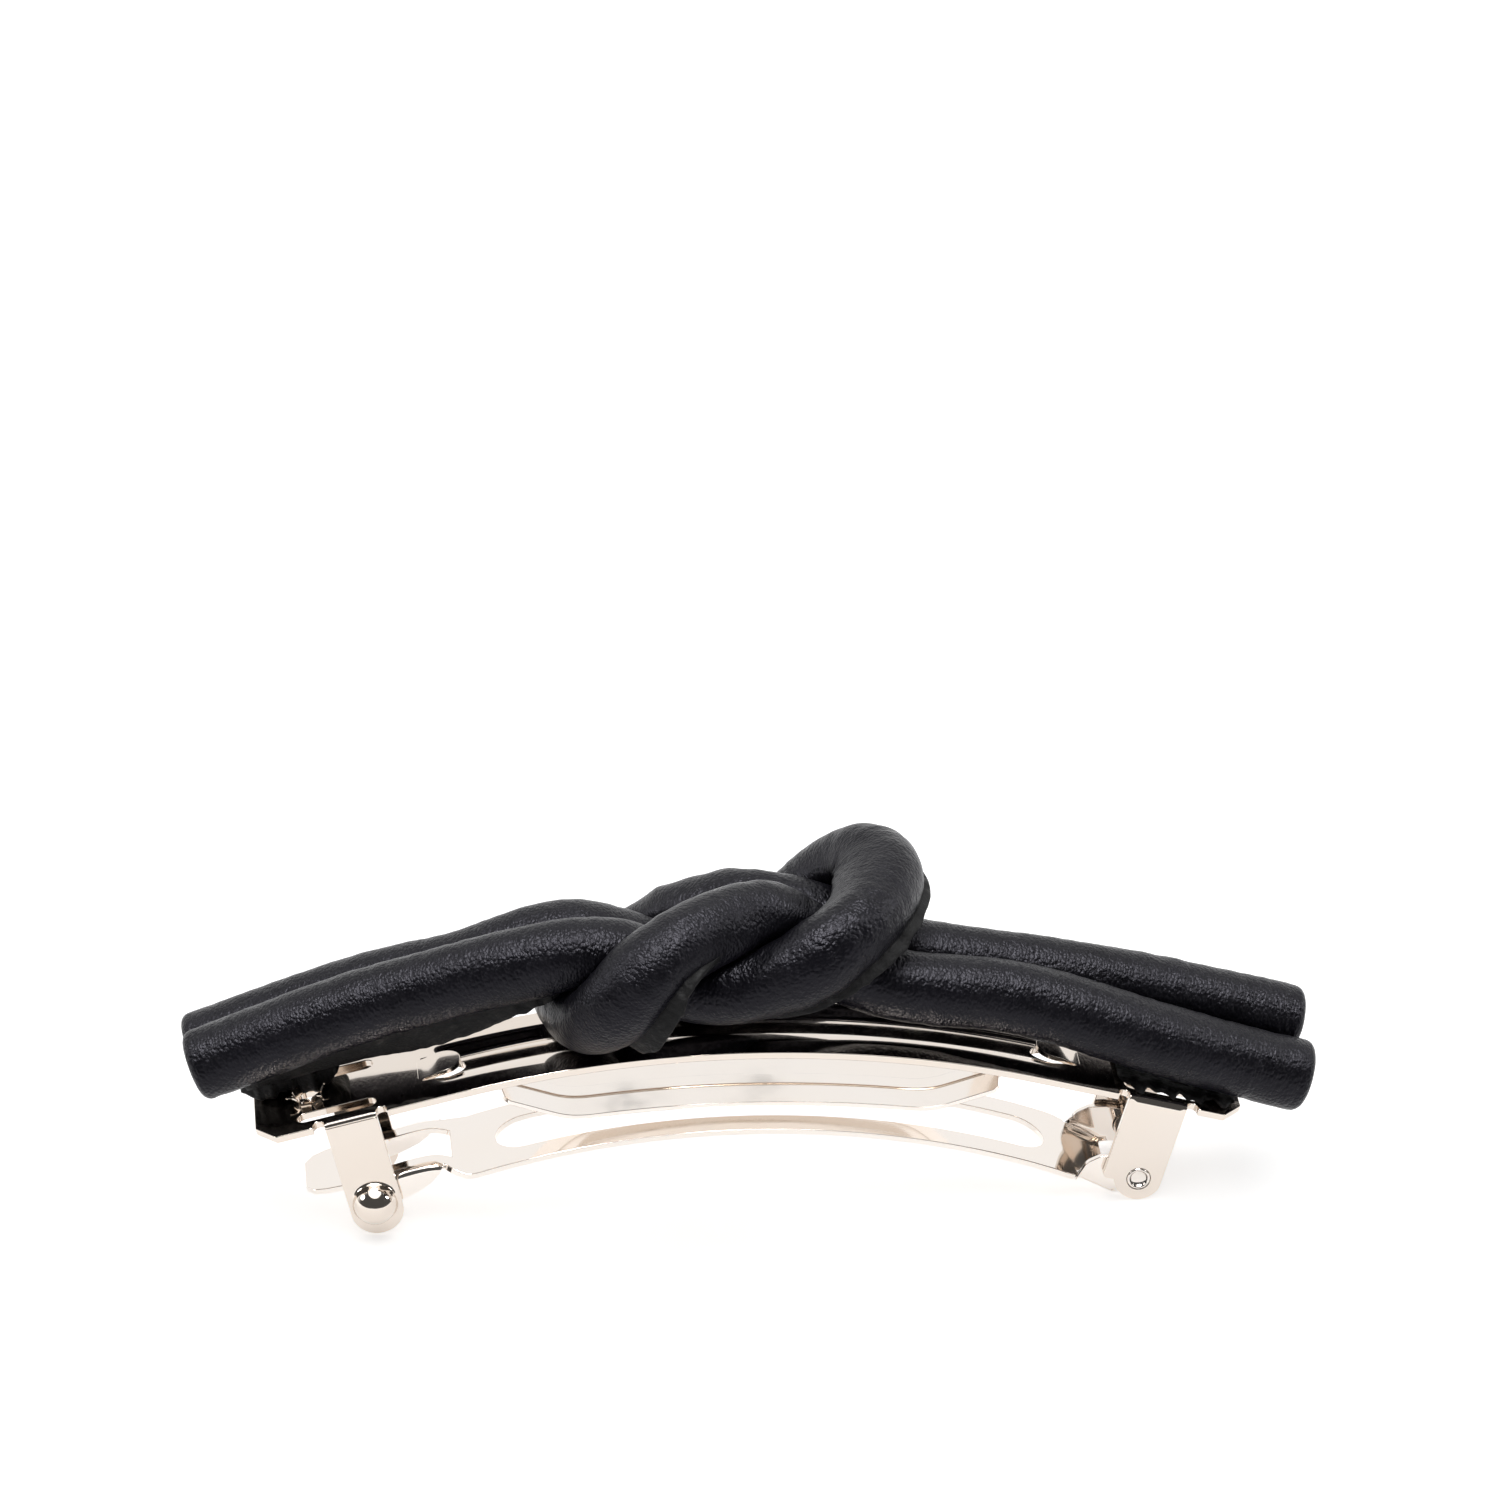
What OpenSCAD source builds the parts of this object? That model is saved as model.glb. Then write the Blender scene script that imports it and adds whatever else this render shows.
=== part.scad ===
// Automatic hair barrette: a sprung steel clasp under a reef knot of two leather cords.
// Millimetres, +X along the clasp towards the hinge, +Y to the back, +Z up, standing on Z = 0.

/* [Base plate] */
// Length of the steel blank, measured along its curve
blank_length = 80; // [79:0.5:81]
// Width of the base plate
plate_w = 9.6; // [9.4:0.1:9.8]
// Sheet thickness of the base plate, its ears and its catch tabs
sheet_t = 0.6; // [0.55:0.05:0.6]
// Bend radius of the arched middle
arch_r = 92; // [90:1:94]
// Slope of the two straight ends, in degrees
end_slope = 14.5; // [14.3:0.1:14.7]
// Width of the pressed channel along the middle
channel_w = 6; // [5.8:0.1:6.2]
// Depth of the pressed channel
channel_d = 0.8; // [0.7:0.05:0.85]

/* [Hinge] */
// Distance of the hinge pin from the end of the blank
pin_from_end = 6.6; // [6.4:0.1:6.8]
// Depth of the hinge pin below the plate's top face
pin_drop = 7.25; // [7.2:0.05:7.3]
// Radius of the tubular hinge pin
pin_r = 0.95; // [0.9:0.05:0.95]
// Radius of the ear around the pin
ear_r = 1.95; // [1.8:0.05:2]

/* [Catch] */
// Distance of the catch tabs from the end of the blank
tab_from_end = 7.6; // [7.4:0.1:7.8]
// Width of a catch tab
tab_w = 4.2; // [4:0.1:4.4]
// Length of a catch tab below the plate's top face
tab_length = 10.9; // [10.8:0.05:11]
// Depth of the thumb dome's centre below the plate's top face
dome_drop = 8; // [7.9:0.05:8.1]
// Outer radius of the hollow thumb dome
dome_r = 1.75; // [1.6:0.05:1.8]

/* [Clasp arm] */
// Bend radius of the clasp arm
arm_r = 71; // [70:0.5:72]
// Drop from the crown of the plate to the crown of the arm
arm_drop = 7.2; // [7:0.1:7.3]
// Sheet thickness of the clasp arm
arm_t = 0.5; // [0.45:0.05:0.5]
// Width of the clasp arm
arm_w = 9; // [8.8:0.1:9.2]

/* [Tension bar] */
// Drop from the crown of the plate to the crown of the bar
bar_drop = 5.3; // [5.2:0.05:5.4]
// Width of the tension bar
bar_w = 7.4; // [7:0.1:7.6]
// Thickness of the spring steel
bar_t = 0.35; // [0.3:0.05:0.4]

/* [Leather knot] */
// Diameter of a leather-covered cord where the knot squeezes it
cord_d = 5.2; // [5:0.05:5.25]
// Thickness of the leather sleeve
leather_t = 0.5; // [0.4:0.05:0.6]

/* [Hidden] */
$fn = 48;

// How the barrette stands on its ears and its slightly longer catch tabs, and where its box
// is centred over the origin.
stand_tilt = 1.44;
stand_lift = 15.205;
centre_x = 0;
centre_y = -1.5;

end_len = blank_length / 2 - arch_r * end_slope * PI / 180;
arch_x = arch_r * sin(end_slope);
arch_z = arch_r * (cos(end_slope) - 1);
edge_y = plate_w / 2;
inner_y = edge_y - sheet_t;

// Where the pin lies in the level frame of the clasp, whose zero is the crown of the plate.
pin_u = end_len - pin_from_end;
pin_x = arch_x + pin_u * cos(end_slope) - pin_drop * sin(end_slope);
pin_z = arch_z - pin_u * sin(end_slope) - pin_drop * cos(end_slope);
ear_left = 2.9;
ear_right = 1.9;

lug_y = 4.1;
catch_y = 3.75;
fit_gap = 0.05;
bar_half = 14;
bar_slope = 17.5;
cord_r = cord_d / 2;
ARC_STEPS = 24;
RING_SIDES = 12;
RINGS = 78;

// ---- Helpers ------------------------------------------------------------------------

module stand()
    translate([centre_x, centre_y, stand_lift])
        rotate([0, stand_tilt, 0])
            children();

// Puts children in the frame of a straight end: X along it, Z normal to it.
module at_end(side)
    mirror([side < 0 ? 1 : 0, 0, 0])
        translate([arch_x, 0, arch_z])
            rotate([0, end_slope, 0])
                children();

// Stands a flat outline up on edge between two Y values.
module upright(y0, y1)
    translate([0, y1, 0])
        rotate([90, 0, 0])
            linear_extrude(y1 - y0)
                children();

function arc_points(r, half, top) =
    [for (i = [-ARC_STEPS : ARC_STEPS])
        let (a = half * i / ARC_STEPS)
        [r * sin(a), r * cos(a) - r + top]];

function unit(v) = v / norm(v);
function tangent(p, i) = unit(p[min(i + 1, len(p) - 1)] - p[max(i - 1, 0)]);
function offset_path(p, d) =
    [for (i = [0 : len(p) - 1])
        let (t = tangent(p, i))
        p[i] + d * [-t[1], t[0]]];
function reversed(p) = [for (i = [len(p) - 1 : -1 : 0]) p[i]];

// A bent strip: the band between two offsets from a side view path, from y0 to y1.
module ribbon(path, top, bottom, y0, y1)
    upright(y0, y1)
        polygon(concat(offset_path(path, top), reversed(offset_path(path, bottom))));

// ---- Base plate ---------------------------------------------------------------------

end_x = arch_x + end_len * cos(end_slope);
past_end = 1;
path_end = [arch_x + (end_len + past_end) * cos(end_slope), arch_z - (end_len + past_end) * sin(end_slope)];
plate_path = concat([[-path_end[0], path_end[1]]], arc_points(arch_r, end_slope, 0), [path_end]);
channel_half = 14;
slot_y = 3.25;
slot_w = 1.1;
slot_length = 6.4;
slot_centre = end_len - 6.6;
eyelet_from_end = 4.4;
petals = 6;
relief_r = 0.45;
relief_out = 0.38;
// The outside of the bend bulges a little past the blank's edge.
ear_proud = 0.05;
lance_w = 3.2;
lance_from = 20.2;
tongue_r = 1.5;
tongue_rise = 0.35;

// The blank from above, with its chamfered corners.
module plate_plan() {
    corner = 1.6;
    tip_y = edge_y - corner - 0.4;
    polygon([[-end_x, -tip_y], [corner - end_x, -edge_y], [end_x - corner, -edge_y], [end_x, -tip_y],
        [end_x, tip_y], [end_x - corner, edge_y], [corner - end_x, edge_y], [-end_x, tip_y]]);
}

module stadium(length, width) {
    square([length - width, width], center = true);
    translate([(length - width) / 2, 0]) circle(d = width);
    translate([(width - length) / 2, 0]) circle(d = width);
}

// Sewing eyelet: the burst petals that stand up round each punched hole.
module eyelet_petals()
    for (k = [0 : petals - 1])
        rotate([0, 0, k * 360 / petals + 15])
            translate([0.95, 0, -0.15])
                rotate([0, -62, 0])
                    linear_extrude(0.22)
                        polygon([[0, -0.55], [0, 0.55], [0.8, 0.3], [1.25, 0], [0.8, -0.3]]);

module ear_outline()
    union() {
        translate([-ear_left, -pin_drop - 0.5])
            square([ear_left + ear_right, pin_drop + 0.5 - sheet_t / 2]);
        translate([0, -pin_drop])
            circle(r = ear_r);
    }

module hinge_ear(y0)
    translate([pin_u, 0, 0])
        difference() {
            upright(y0, y0 + sheet_t)
                ear_outline();
            translate([0, y0 - 1, -pin_drop])
                rotate([-90, 0, 0])
                    cylinder(r = pin_r + 0.01, h = sheet_t + 2);
        }

module base_plate()
    color("gainsboro")
        stand()
            difference() {
                union() {
                    arched_sheet();
                    for (side = [-1, 1])
                        at_end(side) {
                            lanced_tongue();
                            translate([end_len - eyelet_from_end, 0, 0])
                                eyelet_petals();
                        }
                    at_end(1) {
                        hinge_ear(-edge_y - ear_proud);
                        hinge_ear(inner_y + ear_proud);
                    }
                }
                for (side = [-1, 1])
                    at_end(side)
                        end_cuts(side);
                lance_openings();
            }

// The whole blank, arched, with the channel pressed down along its middle.
module arched_sheet() {
    channel_path = arc_points(arch_r, channel_half, 0);
    wall_in = channel_w / 2 - sheet_t / 2;
    wall_out = channel_w / 2 + sheet_t / 2;
    difference() {
        union() {
            intersection() {
                ribbon(plate_path, 0, -sheet_t, -edge_y, edge_y);
                translate([0, 0, -20])
                    linear_extrude(25)
                        plate_plan();
            }
            ribbon(channel_path, -sheet_t / 2, -sheet_t - channel_d, -wall_out, wall_out);
        }
        ribbon(channel_path, 1, -channel_d, -wall_in, wall_in);
    }
}

// The half-round tongue that keeps the end of the tension bar in its opening.
module lanced_tongue()
    translate([0, 0, tongue_rise - sheet_t])
        linear_extrude(sheet_t) {
            translate([-0.6, -tongue_r])
                square([1.2, 2 * tongue_r]);
            translate([-0.6, 0])
                circle(r = tongue_r);
        }

module lance_openings()
    for (side = [-1, 1])
        mirror([side < 0 ? 1 : 0, 0, 0])
            translate([lance_from, -lance_w / 2, arch_z - 3.2])
                cube([arch_x - lance_from + 0.5, lance_w, 2.6]);

module end_cuts(side) {
    foot = side > 0 ? pin_u : end_len - tab_from_end;
    left = side > 0 ? ear_left : tab_w / 2;
    right = side > 0 ? ear_right : tab_w / 2;
    translate([end_len - eyelet_from_end, 0, -sheet_t - 1])
        cylinder(r = 1, h = sheet_t + 1.6);
    for (s = [-1, 1]) {
        translate([slot_centre, s * slot_y, -sheet_t - 1])
            linear_extrude(sheet_t + 2)
                stadium(slot_length, slot_w);
        for (u = [foot - left - relief_out, foot + right + relief_out])
            translate([u, s * edge_y, -sheet_t - 1])
                cylinder(r = relief_r, h = sheet_t + 2);
    }
}

// ---- Catch tabs ---------------------------------------------------------------------

// One sprung tab with its hollow thumb dome, drawn for the front and mirrored for the back.
module catch_tab(s)
    color("gainsboro")
        stand()
            at_end(-1)
                mirror([0, s > 0 ? 1 : 0, 0])
                    translate([end_len - tab_from_end, 0, 0])
                        difference() {
                            union() {
                                upright(-edge_y, -inner_y)
                                    tab_outline();
                                translate([0, -edge_y, -dome_drop])
                                    sphere(r = dome_r);
                            }
                            translate([0, -edge_y, -dome_drop])
                                sphere(r = dome_r - 0.5);
                            translate([0, -edge_y, -dome_drop])
                                rotate([-90, 0, 0])
                                    cylinder(r = dome_r - 0.5, h = 2 * sheet_t);
                            translate([-5, -inner_y, -dome_drop - 5])
                                cube([10, 5, 10]);
                        }

module tab_outline() {
    end_r = 1.5;
    translate([-tab_w / 2, -tab_length + end_r])
        square([tab_w, tab_length - end_r - sheet_t - 0.01]);
    translate([-tab_w / 2 + end_r, -tab_length])
        square([tab_w - 2 * end_r, end_r + 0.1]);
    for (s = [-1, 1])
        translate([s * (tab_w / 2 - end_r), -tab_length + end_r])
            circle(r = end_r);
}

module catch_tab_front() catch_tab(-1);

module catch_tab_back() catch_tab(1);

// ---- Clasp arm ----------------------------------------------------------------------

arm_half = 18.5;
arm_z = -arm_drop + arm_r * (cos(arm_half) - 1);
window_length = 44;
window_w = 4.6;
catch_window = 5.2;

// Side view of the arm: finger tip, catch, raised shoulder, arch, hinge end.
arm_path = concat(
    [[-35, -13.1], [-32, -12.2], [-28.8, -11.3], [-26.6, -10.6], [-25, -10.25], [-23.8, -10.5]],
    arc_points(arm_r, arm_half, -arm_drop),
    [[24.6, arm_z - 0.75], [26.5, arm_z - 1.65], [28.9, arm_z - 2.9]]);

module arm_plan()
    difference() {
        union() {
            translate([-22, -arm_w / 2])
                square([47.6, arm_w]);
            translate([25, -lug_y])
                square([4.2, 2 * lug_y]);
            polygon([[-22, -arm_w / 2], [-24.6, -catch_y], [-31, -catch_y], [-33, -3],
                [-34, -3], [-35.2, -1.8], [-35.2, 1.8], [-34, 3], [-33, 3], [-31, catch_y],
                [-24.6, catch_y], [-22, arm_w / 2]]);
        }
        translate([1.9, 0])
            stadium(window_length, window_w);
        translate([-26.2, 0])
            square([catch_window, 4], center = true);
    }

// Catch flange: the half-moon wing that carries the pip under a thumb dome.
module catch_flange(s) {
    y0 = s > 0 ? catch_y - arm_t : -catch_y;
    upright(y0, y0 + arm_t)
        polygon([[-32, -12.3], [-28.8, -11.4], [-26.6, -10.7], [-24.6, -10.4], [-24.2, -11],
            [-26, -12.6], [-28.4, -13.7], [-30.4, -14.2], [-31.6, -14]]);
    dome_x = -arch_x - (end_len - tab_from_end) * cos(end_slope) + dome_drop * sin(end_slope);
    dome_z = arch_z - (end_len - tab_from_end) * sin(end_slope) - dome_drop * cos(end_slope);
    intersection() {
        translate([dome_x, s * (catch_y - 0.5), dome_z])
            sphere(r = 0.9);
        translate([dome_x - 2, s > 0 ? catch_y - 0.2 : -catch_y - 0.4, dome_z - 2])
            cube([4, 0.6, 4]);
    }
}

module hinge_lug(s) {
    y0 = s > 0 ? lug_y - arm_t : -lug_y;
    upright(y0, y0 + arm_t)
        difference() {
            union() {
                polygon([[24.9, arm_z - 0.9], [26.5, arm_z - 1.7], [28.9, arm_z - 3],
                    [pin_x + 0.4, pin_z - 1.5], [pin_x + 0.4, pin_z + 1.5],
                    [29.2, pin_z + 1.9], [26, -10.9]]);
                translate([pin_x, pin_z])
                    circle(r = 1.6);
            }
            translate([pin_x, pin_z])
                circle(r = pin_r + fit_gap);
        }
}

module clasp_arm()
    color("whitesmoke")
        stand() {
            intersection() {
                ribbon(arm_path, 0, -arm_t, -arm_w / 2 - 1, arm_w / 2 + 1);
                translate([0, 0, -20])
                    linear_extrude(20)
                        arm_plan();
            }
            for (s = [-1, 1]) {
                catch_flange(s);
                hinge_lug(s);
            }
        }

// ---- Tension bar --------------------------------------------------------------------

bar_r = 103;
bar_end = 22.3;
bar_arc = asin(bar_half / bar_r);
bar_knee = -bar_drop + bar_r * (cos(bar_arc) - 1);
bar_tip = bar_knee + (bar_end - bar_half) * tan(bar_slope);
bar_path = concat([[-bar_end, bar_tip], [-bar_half - 0.8, bar_knee + 0.15]],
    arc_points(bar_r, bar_arc - 0.4, -bar_drop),
    [[bar_half + 0.8, bar_knee + 0.15], [bar_end, bar_tip]]);

module bar_plan() {
    neck = 19.6;
    square([2 * neck, bar_w], center = true);
    for (s = [-1, 1])
        translate([s * (neck + bar_end) / 2, 0])
            square([bar_end - neck + 0.4, 2.4], center = true);
}

module tension_bar()
    color("silver")
        stand() {
            intersection() {
                ribbon(bar_path, 0, -bar_t, -bar_w / 2, bar_w / 2);
                translate([0, 0, -12])
                    linear_extrude(12)
                        bar_plan();
            }
            ribbon(arc_points(bar_r, bar_arc - 1, -bar_drop), 0.3, -0.1, -1.7, 1.7);
        }

// ---- Hinge pin ----------------------------------------------------------------------

module hinge_pin()
    color("silver")
        stand()
            translate([pin_x, -edge_y + 0.05, pin_z])
                rotate([-90, 0, 0])
                    difference() {
                        cylinder(r = pin_r, h = plate_w - 0.1);
                        translate([0, 0, -1])
                            cylinder(r = pin_r - 0.3, h = 3.5);
                        translate([0, 0, plate_w - 2.6])
                            cylinder(r = pin_r - 0.3, h = 3.5);
                    }

// ---- Leather cords ------------------------------------------------------------------

// Route of the left cord: front leg, over the right cord's legs, back leg.
left_route = [[-44, -1, -2.4], [-39, -1, -0.4], [-34, -1, 1.7], [-29, -1, 3.4],
    [-24, -1.4, 5], [-19, -2, 6.7], [-14.5, -2.2, 7.8], [-11, -2.2, 7.5], [-7.5, -2.2, 6],
    [-4.5, -3, 4.9], [-1, -4.4, 5.4], [2, -5.4, 7], [5, -5.3, 9], [8.2, -2.8, 10.2],
    [10.3, 1, 10.6], [11, 4.6, 10.6], [10, 8, 10], [7.6, 10, 7.9], [5, 10.1, 5.2],
    [2, 8.4, 3.3], [-1.5, 5.6, 2.8], [-5, 3.6, 3.3], [-8.5, 3, 4.9], [-12, 3.1, 6.6],
    [-15.5, 3.1, 7], [-19, 3.3, 5.5], [-24, 3.9, 3.2], [-29, 4.5, 1.5], [-34, 4.6, -0.3],
    [-39, 4.6, -2.1], [-44, 4.6, -4.1]];

// Route of the right cord: front leg, under and round the left cord's legs, back leg.
right_route = [[44.4, -2, -5], [39.5, -2, -3.5], [34.5, -2.2, -1.8], [29.5, -2.2, 0],
    [24.5, -1.8, 1.6], [19.5, -1.4, 2.8], [14.5, -1.2, 3.3], [10.5, -1, 4], [7, -0.5, 5.4],
    [4, -0.2, 7.6], [1, -0.6, 9.9], [-2.5, -2.4, 10.4], [-6, -5, 10.2], [-9, -6.9, 8.9],
    [-11, -7.3, 6.2], [-12.3, -5.8, 3.8], [-13.4, -2.8, 2.4], [-14.4, 1, 1.7],
    [-14.2, 4.5, 1.6], [-12.4, 7, 1.9], [-9.5, 8.3, 3.1], [-6.8, 8.6, 5], [-4.5, 7.9, 7],
    [-1.5, 6.4, 8.2], [1.5, 5.4, 8.3], [4.5, 5.1, 7.6], [7.5, 4.9, 6.1], [10.5, 4.6, 4.5],
    [14.5, 4.2, 3.2], [19.5, 4, 2.4], [24.5, 3.9, 1.7], [29.5, 3.8, 0.6], [34.5, 3.8, -0.6],
    [39.5, 3.7, -1.9], [44.4, 3.7, -3.3]];

function route_end(p, i) =
    i < 0 ? 2 * p[0] - p[1] : i >= len(p) ? 2 * p[len(p) - 1] - p[len(p) - 2] : p[i];

// Catmull-Rom curve through the route, s from 0 at its start to 1 at its end.
function on_route(p, s) =
    let (f = s * (len(p) - 1),
        i = min(floor(f), len(p) - 2),
        t = f - i,
        a = route_end(p, i - 1),
        b = route_end(p, i),
        c = route_end(p, i + 1),
        d = route_end(p, i + 2))
    0.5 * (2 * b + (c - a) * t + (2 * a - 5 * b + 4 * c - d) * t * t
        + (3 * b - a - 3 * c + d) * t * t * t);

function along(p, i, n) =
    unit(on_route(p, min(1, (i + 0.5) / n)) - on_route(p, max(0, (i - 0.5) / n)));

// Side directions carried from ring to ring, so that the tube doesn't twist.
function side_dirs(p, n, i = 0, last = [0, 0, 1]) =
    i > n ? [] :
    let (t = along(p, i, n),
        v = unit(last - (last * t) * t))
    concat([v], side_dirs(p, n, i + 1, v));

function tube_points(p, n, r) =
    let (dirs = side_dirs(p, n))
    [for (i = [0 : n])
        let (c = on_route(p, i / n),
            t = along(p, i, n),
            v = dirs[i],
            w = cross(t, v))
        for (k = [0 : RING_SIDES - 1])
            let (a = 360 * k / RING_SIDES)
            c + r * (cos(a) * v + sin(a) * w)];

function skin(n, base, flip) =
    [for (i = [0 : n - 1], k = [0 : RING_SIDES - 1])
        let (k2 = (k + 1) % RING_SIDES,
            a = base + i * RING_SIDES + k,
            b = base + i * RING_SIDES + k2,
            c = base + (i + 1) * RING_SIDES + k2,
            d = base + (i + 1) * RING_SIDES + k)
        each flip ? [[a, b, c], [a, c, d]] : [[c, b, a], [d, c, a]]];

function rim(outer, inner, flip) =
    [for (k = [0 : RING_SIDES - 1])
        let (k2 = (k + 1) % RING_SIDES)
        each flip ? [[outer + k2, outer + k, inner + k], [outer + k2, inner + k, inner + k2]]
            : [[outer + k, outer + k2, inner + k], [outer + k2, inner + k2, inner + k]]];

function ring_list(base, flip) =
    flip ? [for (k = [RING_SIDES - 1 : -1 : 0]) base + k] : [for (k = [0 : RING_SIDES - 1]) base + k];

module tube(route, n, r)
    polyhedron(
        points = tube_points(route, n, r),
        faces = concat(skin(n, 0, false), [ring_list(0, false)], [ring_list(n * RING_SIDES, true)]));

module sleeve(route, n, r_out, r_in) {
    count = (n + 1) * RING_SIDES;
    polyhedron(
        points = concat(tube_points(route, n, r_out), tube_points(route, n, r_in)),
        faces = concat(skin(n, 0, false), skin(n, count, true), rim(0, count, false),
            rim(n * RING_SIDES, count + n * RING_SIDES, true)));
}

module left_cord_sleeve()
    color([0.09, 0.09, 0.11])
        stand()
            sleeve(left_route, RINGS, cord_r, cord_r - leather_t);

module left_cord_core()
    color("beige")
        stand()
            tube(left_route, RINGS, cord_r - leather_t - fit_gap);

module right_cord_sleeve()
    color([0.09, 0.09, 0.11])
        stand()
            sleeve(right_route, RINGS, cord_r, cord_r - leather_t);

module right_cord_core()
    color("beige")
        stand()
            tube(right_route, RINGS, cord_r - leather_t - fit_gap);

// ---- Glue pads ----------------------------------------------------------------------

// Wedge of glue and rough leather that beds a pair of cord ends on the plate.
module glue_pad(side, y0, y1, rise)
    color([0.06, 0.06, 0.06])
        stand()
            at_end(side)
                upright(y0, y1)
                    polygon([[end_len - 9, 0.02], [end_len + 1.5, 0.02], [end_len + 1.5, 0.6],
                        [end_len - 9, rise]]);

module left_glue_pad() glue_pad(-1, -1.6, 4.6, 2.4);

module right_glue_pad() glue_pad(1, -3, 4.4, 1.2);

base_plate();
catch_tab_front();
catch_tab_back();
clasp_arm();
tension_bar();
hinge_pin();
left_cord_sleeve();
left_cord_core();
right_cord_sleeve();
right_cord_core();
left_glue_pad();
right_glue_pad();
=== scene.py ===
import math

import bpy
import numpy as np
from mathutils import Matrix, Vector
from mathutils.geometry import delaunay_2d_cdt


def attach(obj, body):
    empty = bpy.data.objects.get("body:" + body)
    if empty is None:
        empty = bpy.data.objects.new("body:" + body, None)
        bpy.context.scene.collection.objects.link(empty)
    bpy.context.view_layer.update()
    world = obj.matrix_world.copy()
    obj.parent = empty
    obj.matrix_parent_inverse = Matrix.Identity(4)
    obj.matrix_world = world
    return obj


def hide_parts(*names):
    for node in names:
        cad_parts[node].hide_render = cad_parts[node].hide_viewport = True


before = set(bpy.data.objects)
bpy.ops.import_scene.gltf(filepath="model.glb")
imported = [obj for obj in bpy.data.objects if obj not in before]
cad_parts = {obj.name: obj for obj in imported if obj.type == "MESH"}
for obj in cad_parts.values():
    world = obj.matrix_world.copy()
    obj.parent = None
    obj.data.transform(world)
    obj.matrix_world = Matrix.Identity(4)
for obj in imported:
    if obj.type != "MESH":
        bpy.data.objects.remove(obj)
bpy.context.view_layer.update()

# A hair barrette: a sprung nickel clasp under a reef knot of two leather-covered cords.
# Shapes are worked out in millimetres in the level frame of the clasp, whose zero is the crown
# of the base plate, and stand() carries them to the row frame in metres.

MM = 0.001
SEED = 7

# ---- How the barrette stands, as in the CAD model -----------------------------------------

STAND_TILT = math.radians(1.44)
STAND_LIFT = 15.205
CENTRE_Y = -1.5


def turned(v):
    c, s = math.cos(STAND_TILT), math.sin(STAND_TILT)
    x = v[..., 0] * c + v[..., 2] * s
    z = v[..., 2] * c - v[..., 0] * s
    return np.stack([x, v[..., 1], z], -1)


def stand(points):
    return (turned(points) + np.array([0, CENTRE_Y, STAND_LIFT])) * MM


def unit(v):
    return v / np.maximum(np.linalg.norm(v, axis=-1, keepdims=True), 1e-12)


def smoothstep(x):
    x = np.clip(x, 0, 1)
    return x * x * (3 - 2 * x)


def lengths(line):
    """Distance from the start of a polyline to each of its points."""
    return np.r_[0, np.cumsum(np.linalg.norm(np.diff(line, axis=0), axis=1))]


# ---- Camera ------------------------------------------------------------------------------

CAMERA_AZIMUTH = math.radians(-5)
CAMERA_ELEVATION = math.radians(31)
CAMERA_DISTANCE = 0.6
CAMERA_LENS = 180.7
LOOK_AT = Vector((0, -0.0015, 0.008))
LOOK_ABOVE = 0.0279


def make_camera():
    """A long lens from the front and above; the barrette stands below the picture's middle."""
    a, e = CAMERA_AZIMUTH, CAMERA_ELEVATION
    towards = Vector((math.sin(a) * math.cos(e), -math.cos(a) * math.cos(e), math.sin(e)))
    up = Vector((-math.sin(a) * math.sin(e), math.cos(a) * math.sin(e), math.cos(e)))
    data = bpy.data.cameras.new("studio_camera")
    data.lens = CAMERA_LENS
    data.clip_start = 0.01
    camera = bpy.data.objects.new("studio_camera", data)
    bpy.context.scene.collection.objects.link(camera)
    camera.location = LOOK_AT + towards * CAMERA_DISTANCE
    aim = LOOK_AT + up * LOOK_ABOVE - camera.location
    camera.rotation_euler = aim.to_track_quat("-Z", "Y").to_euler()
    bpy.context.scene.camera = camera


# ---- Materials ----------------------------------------------------------------------------


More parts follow.
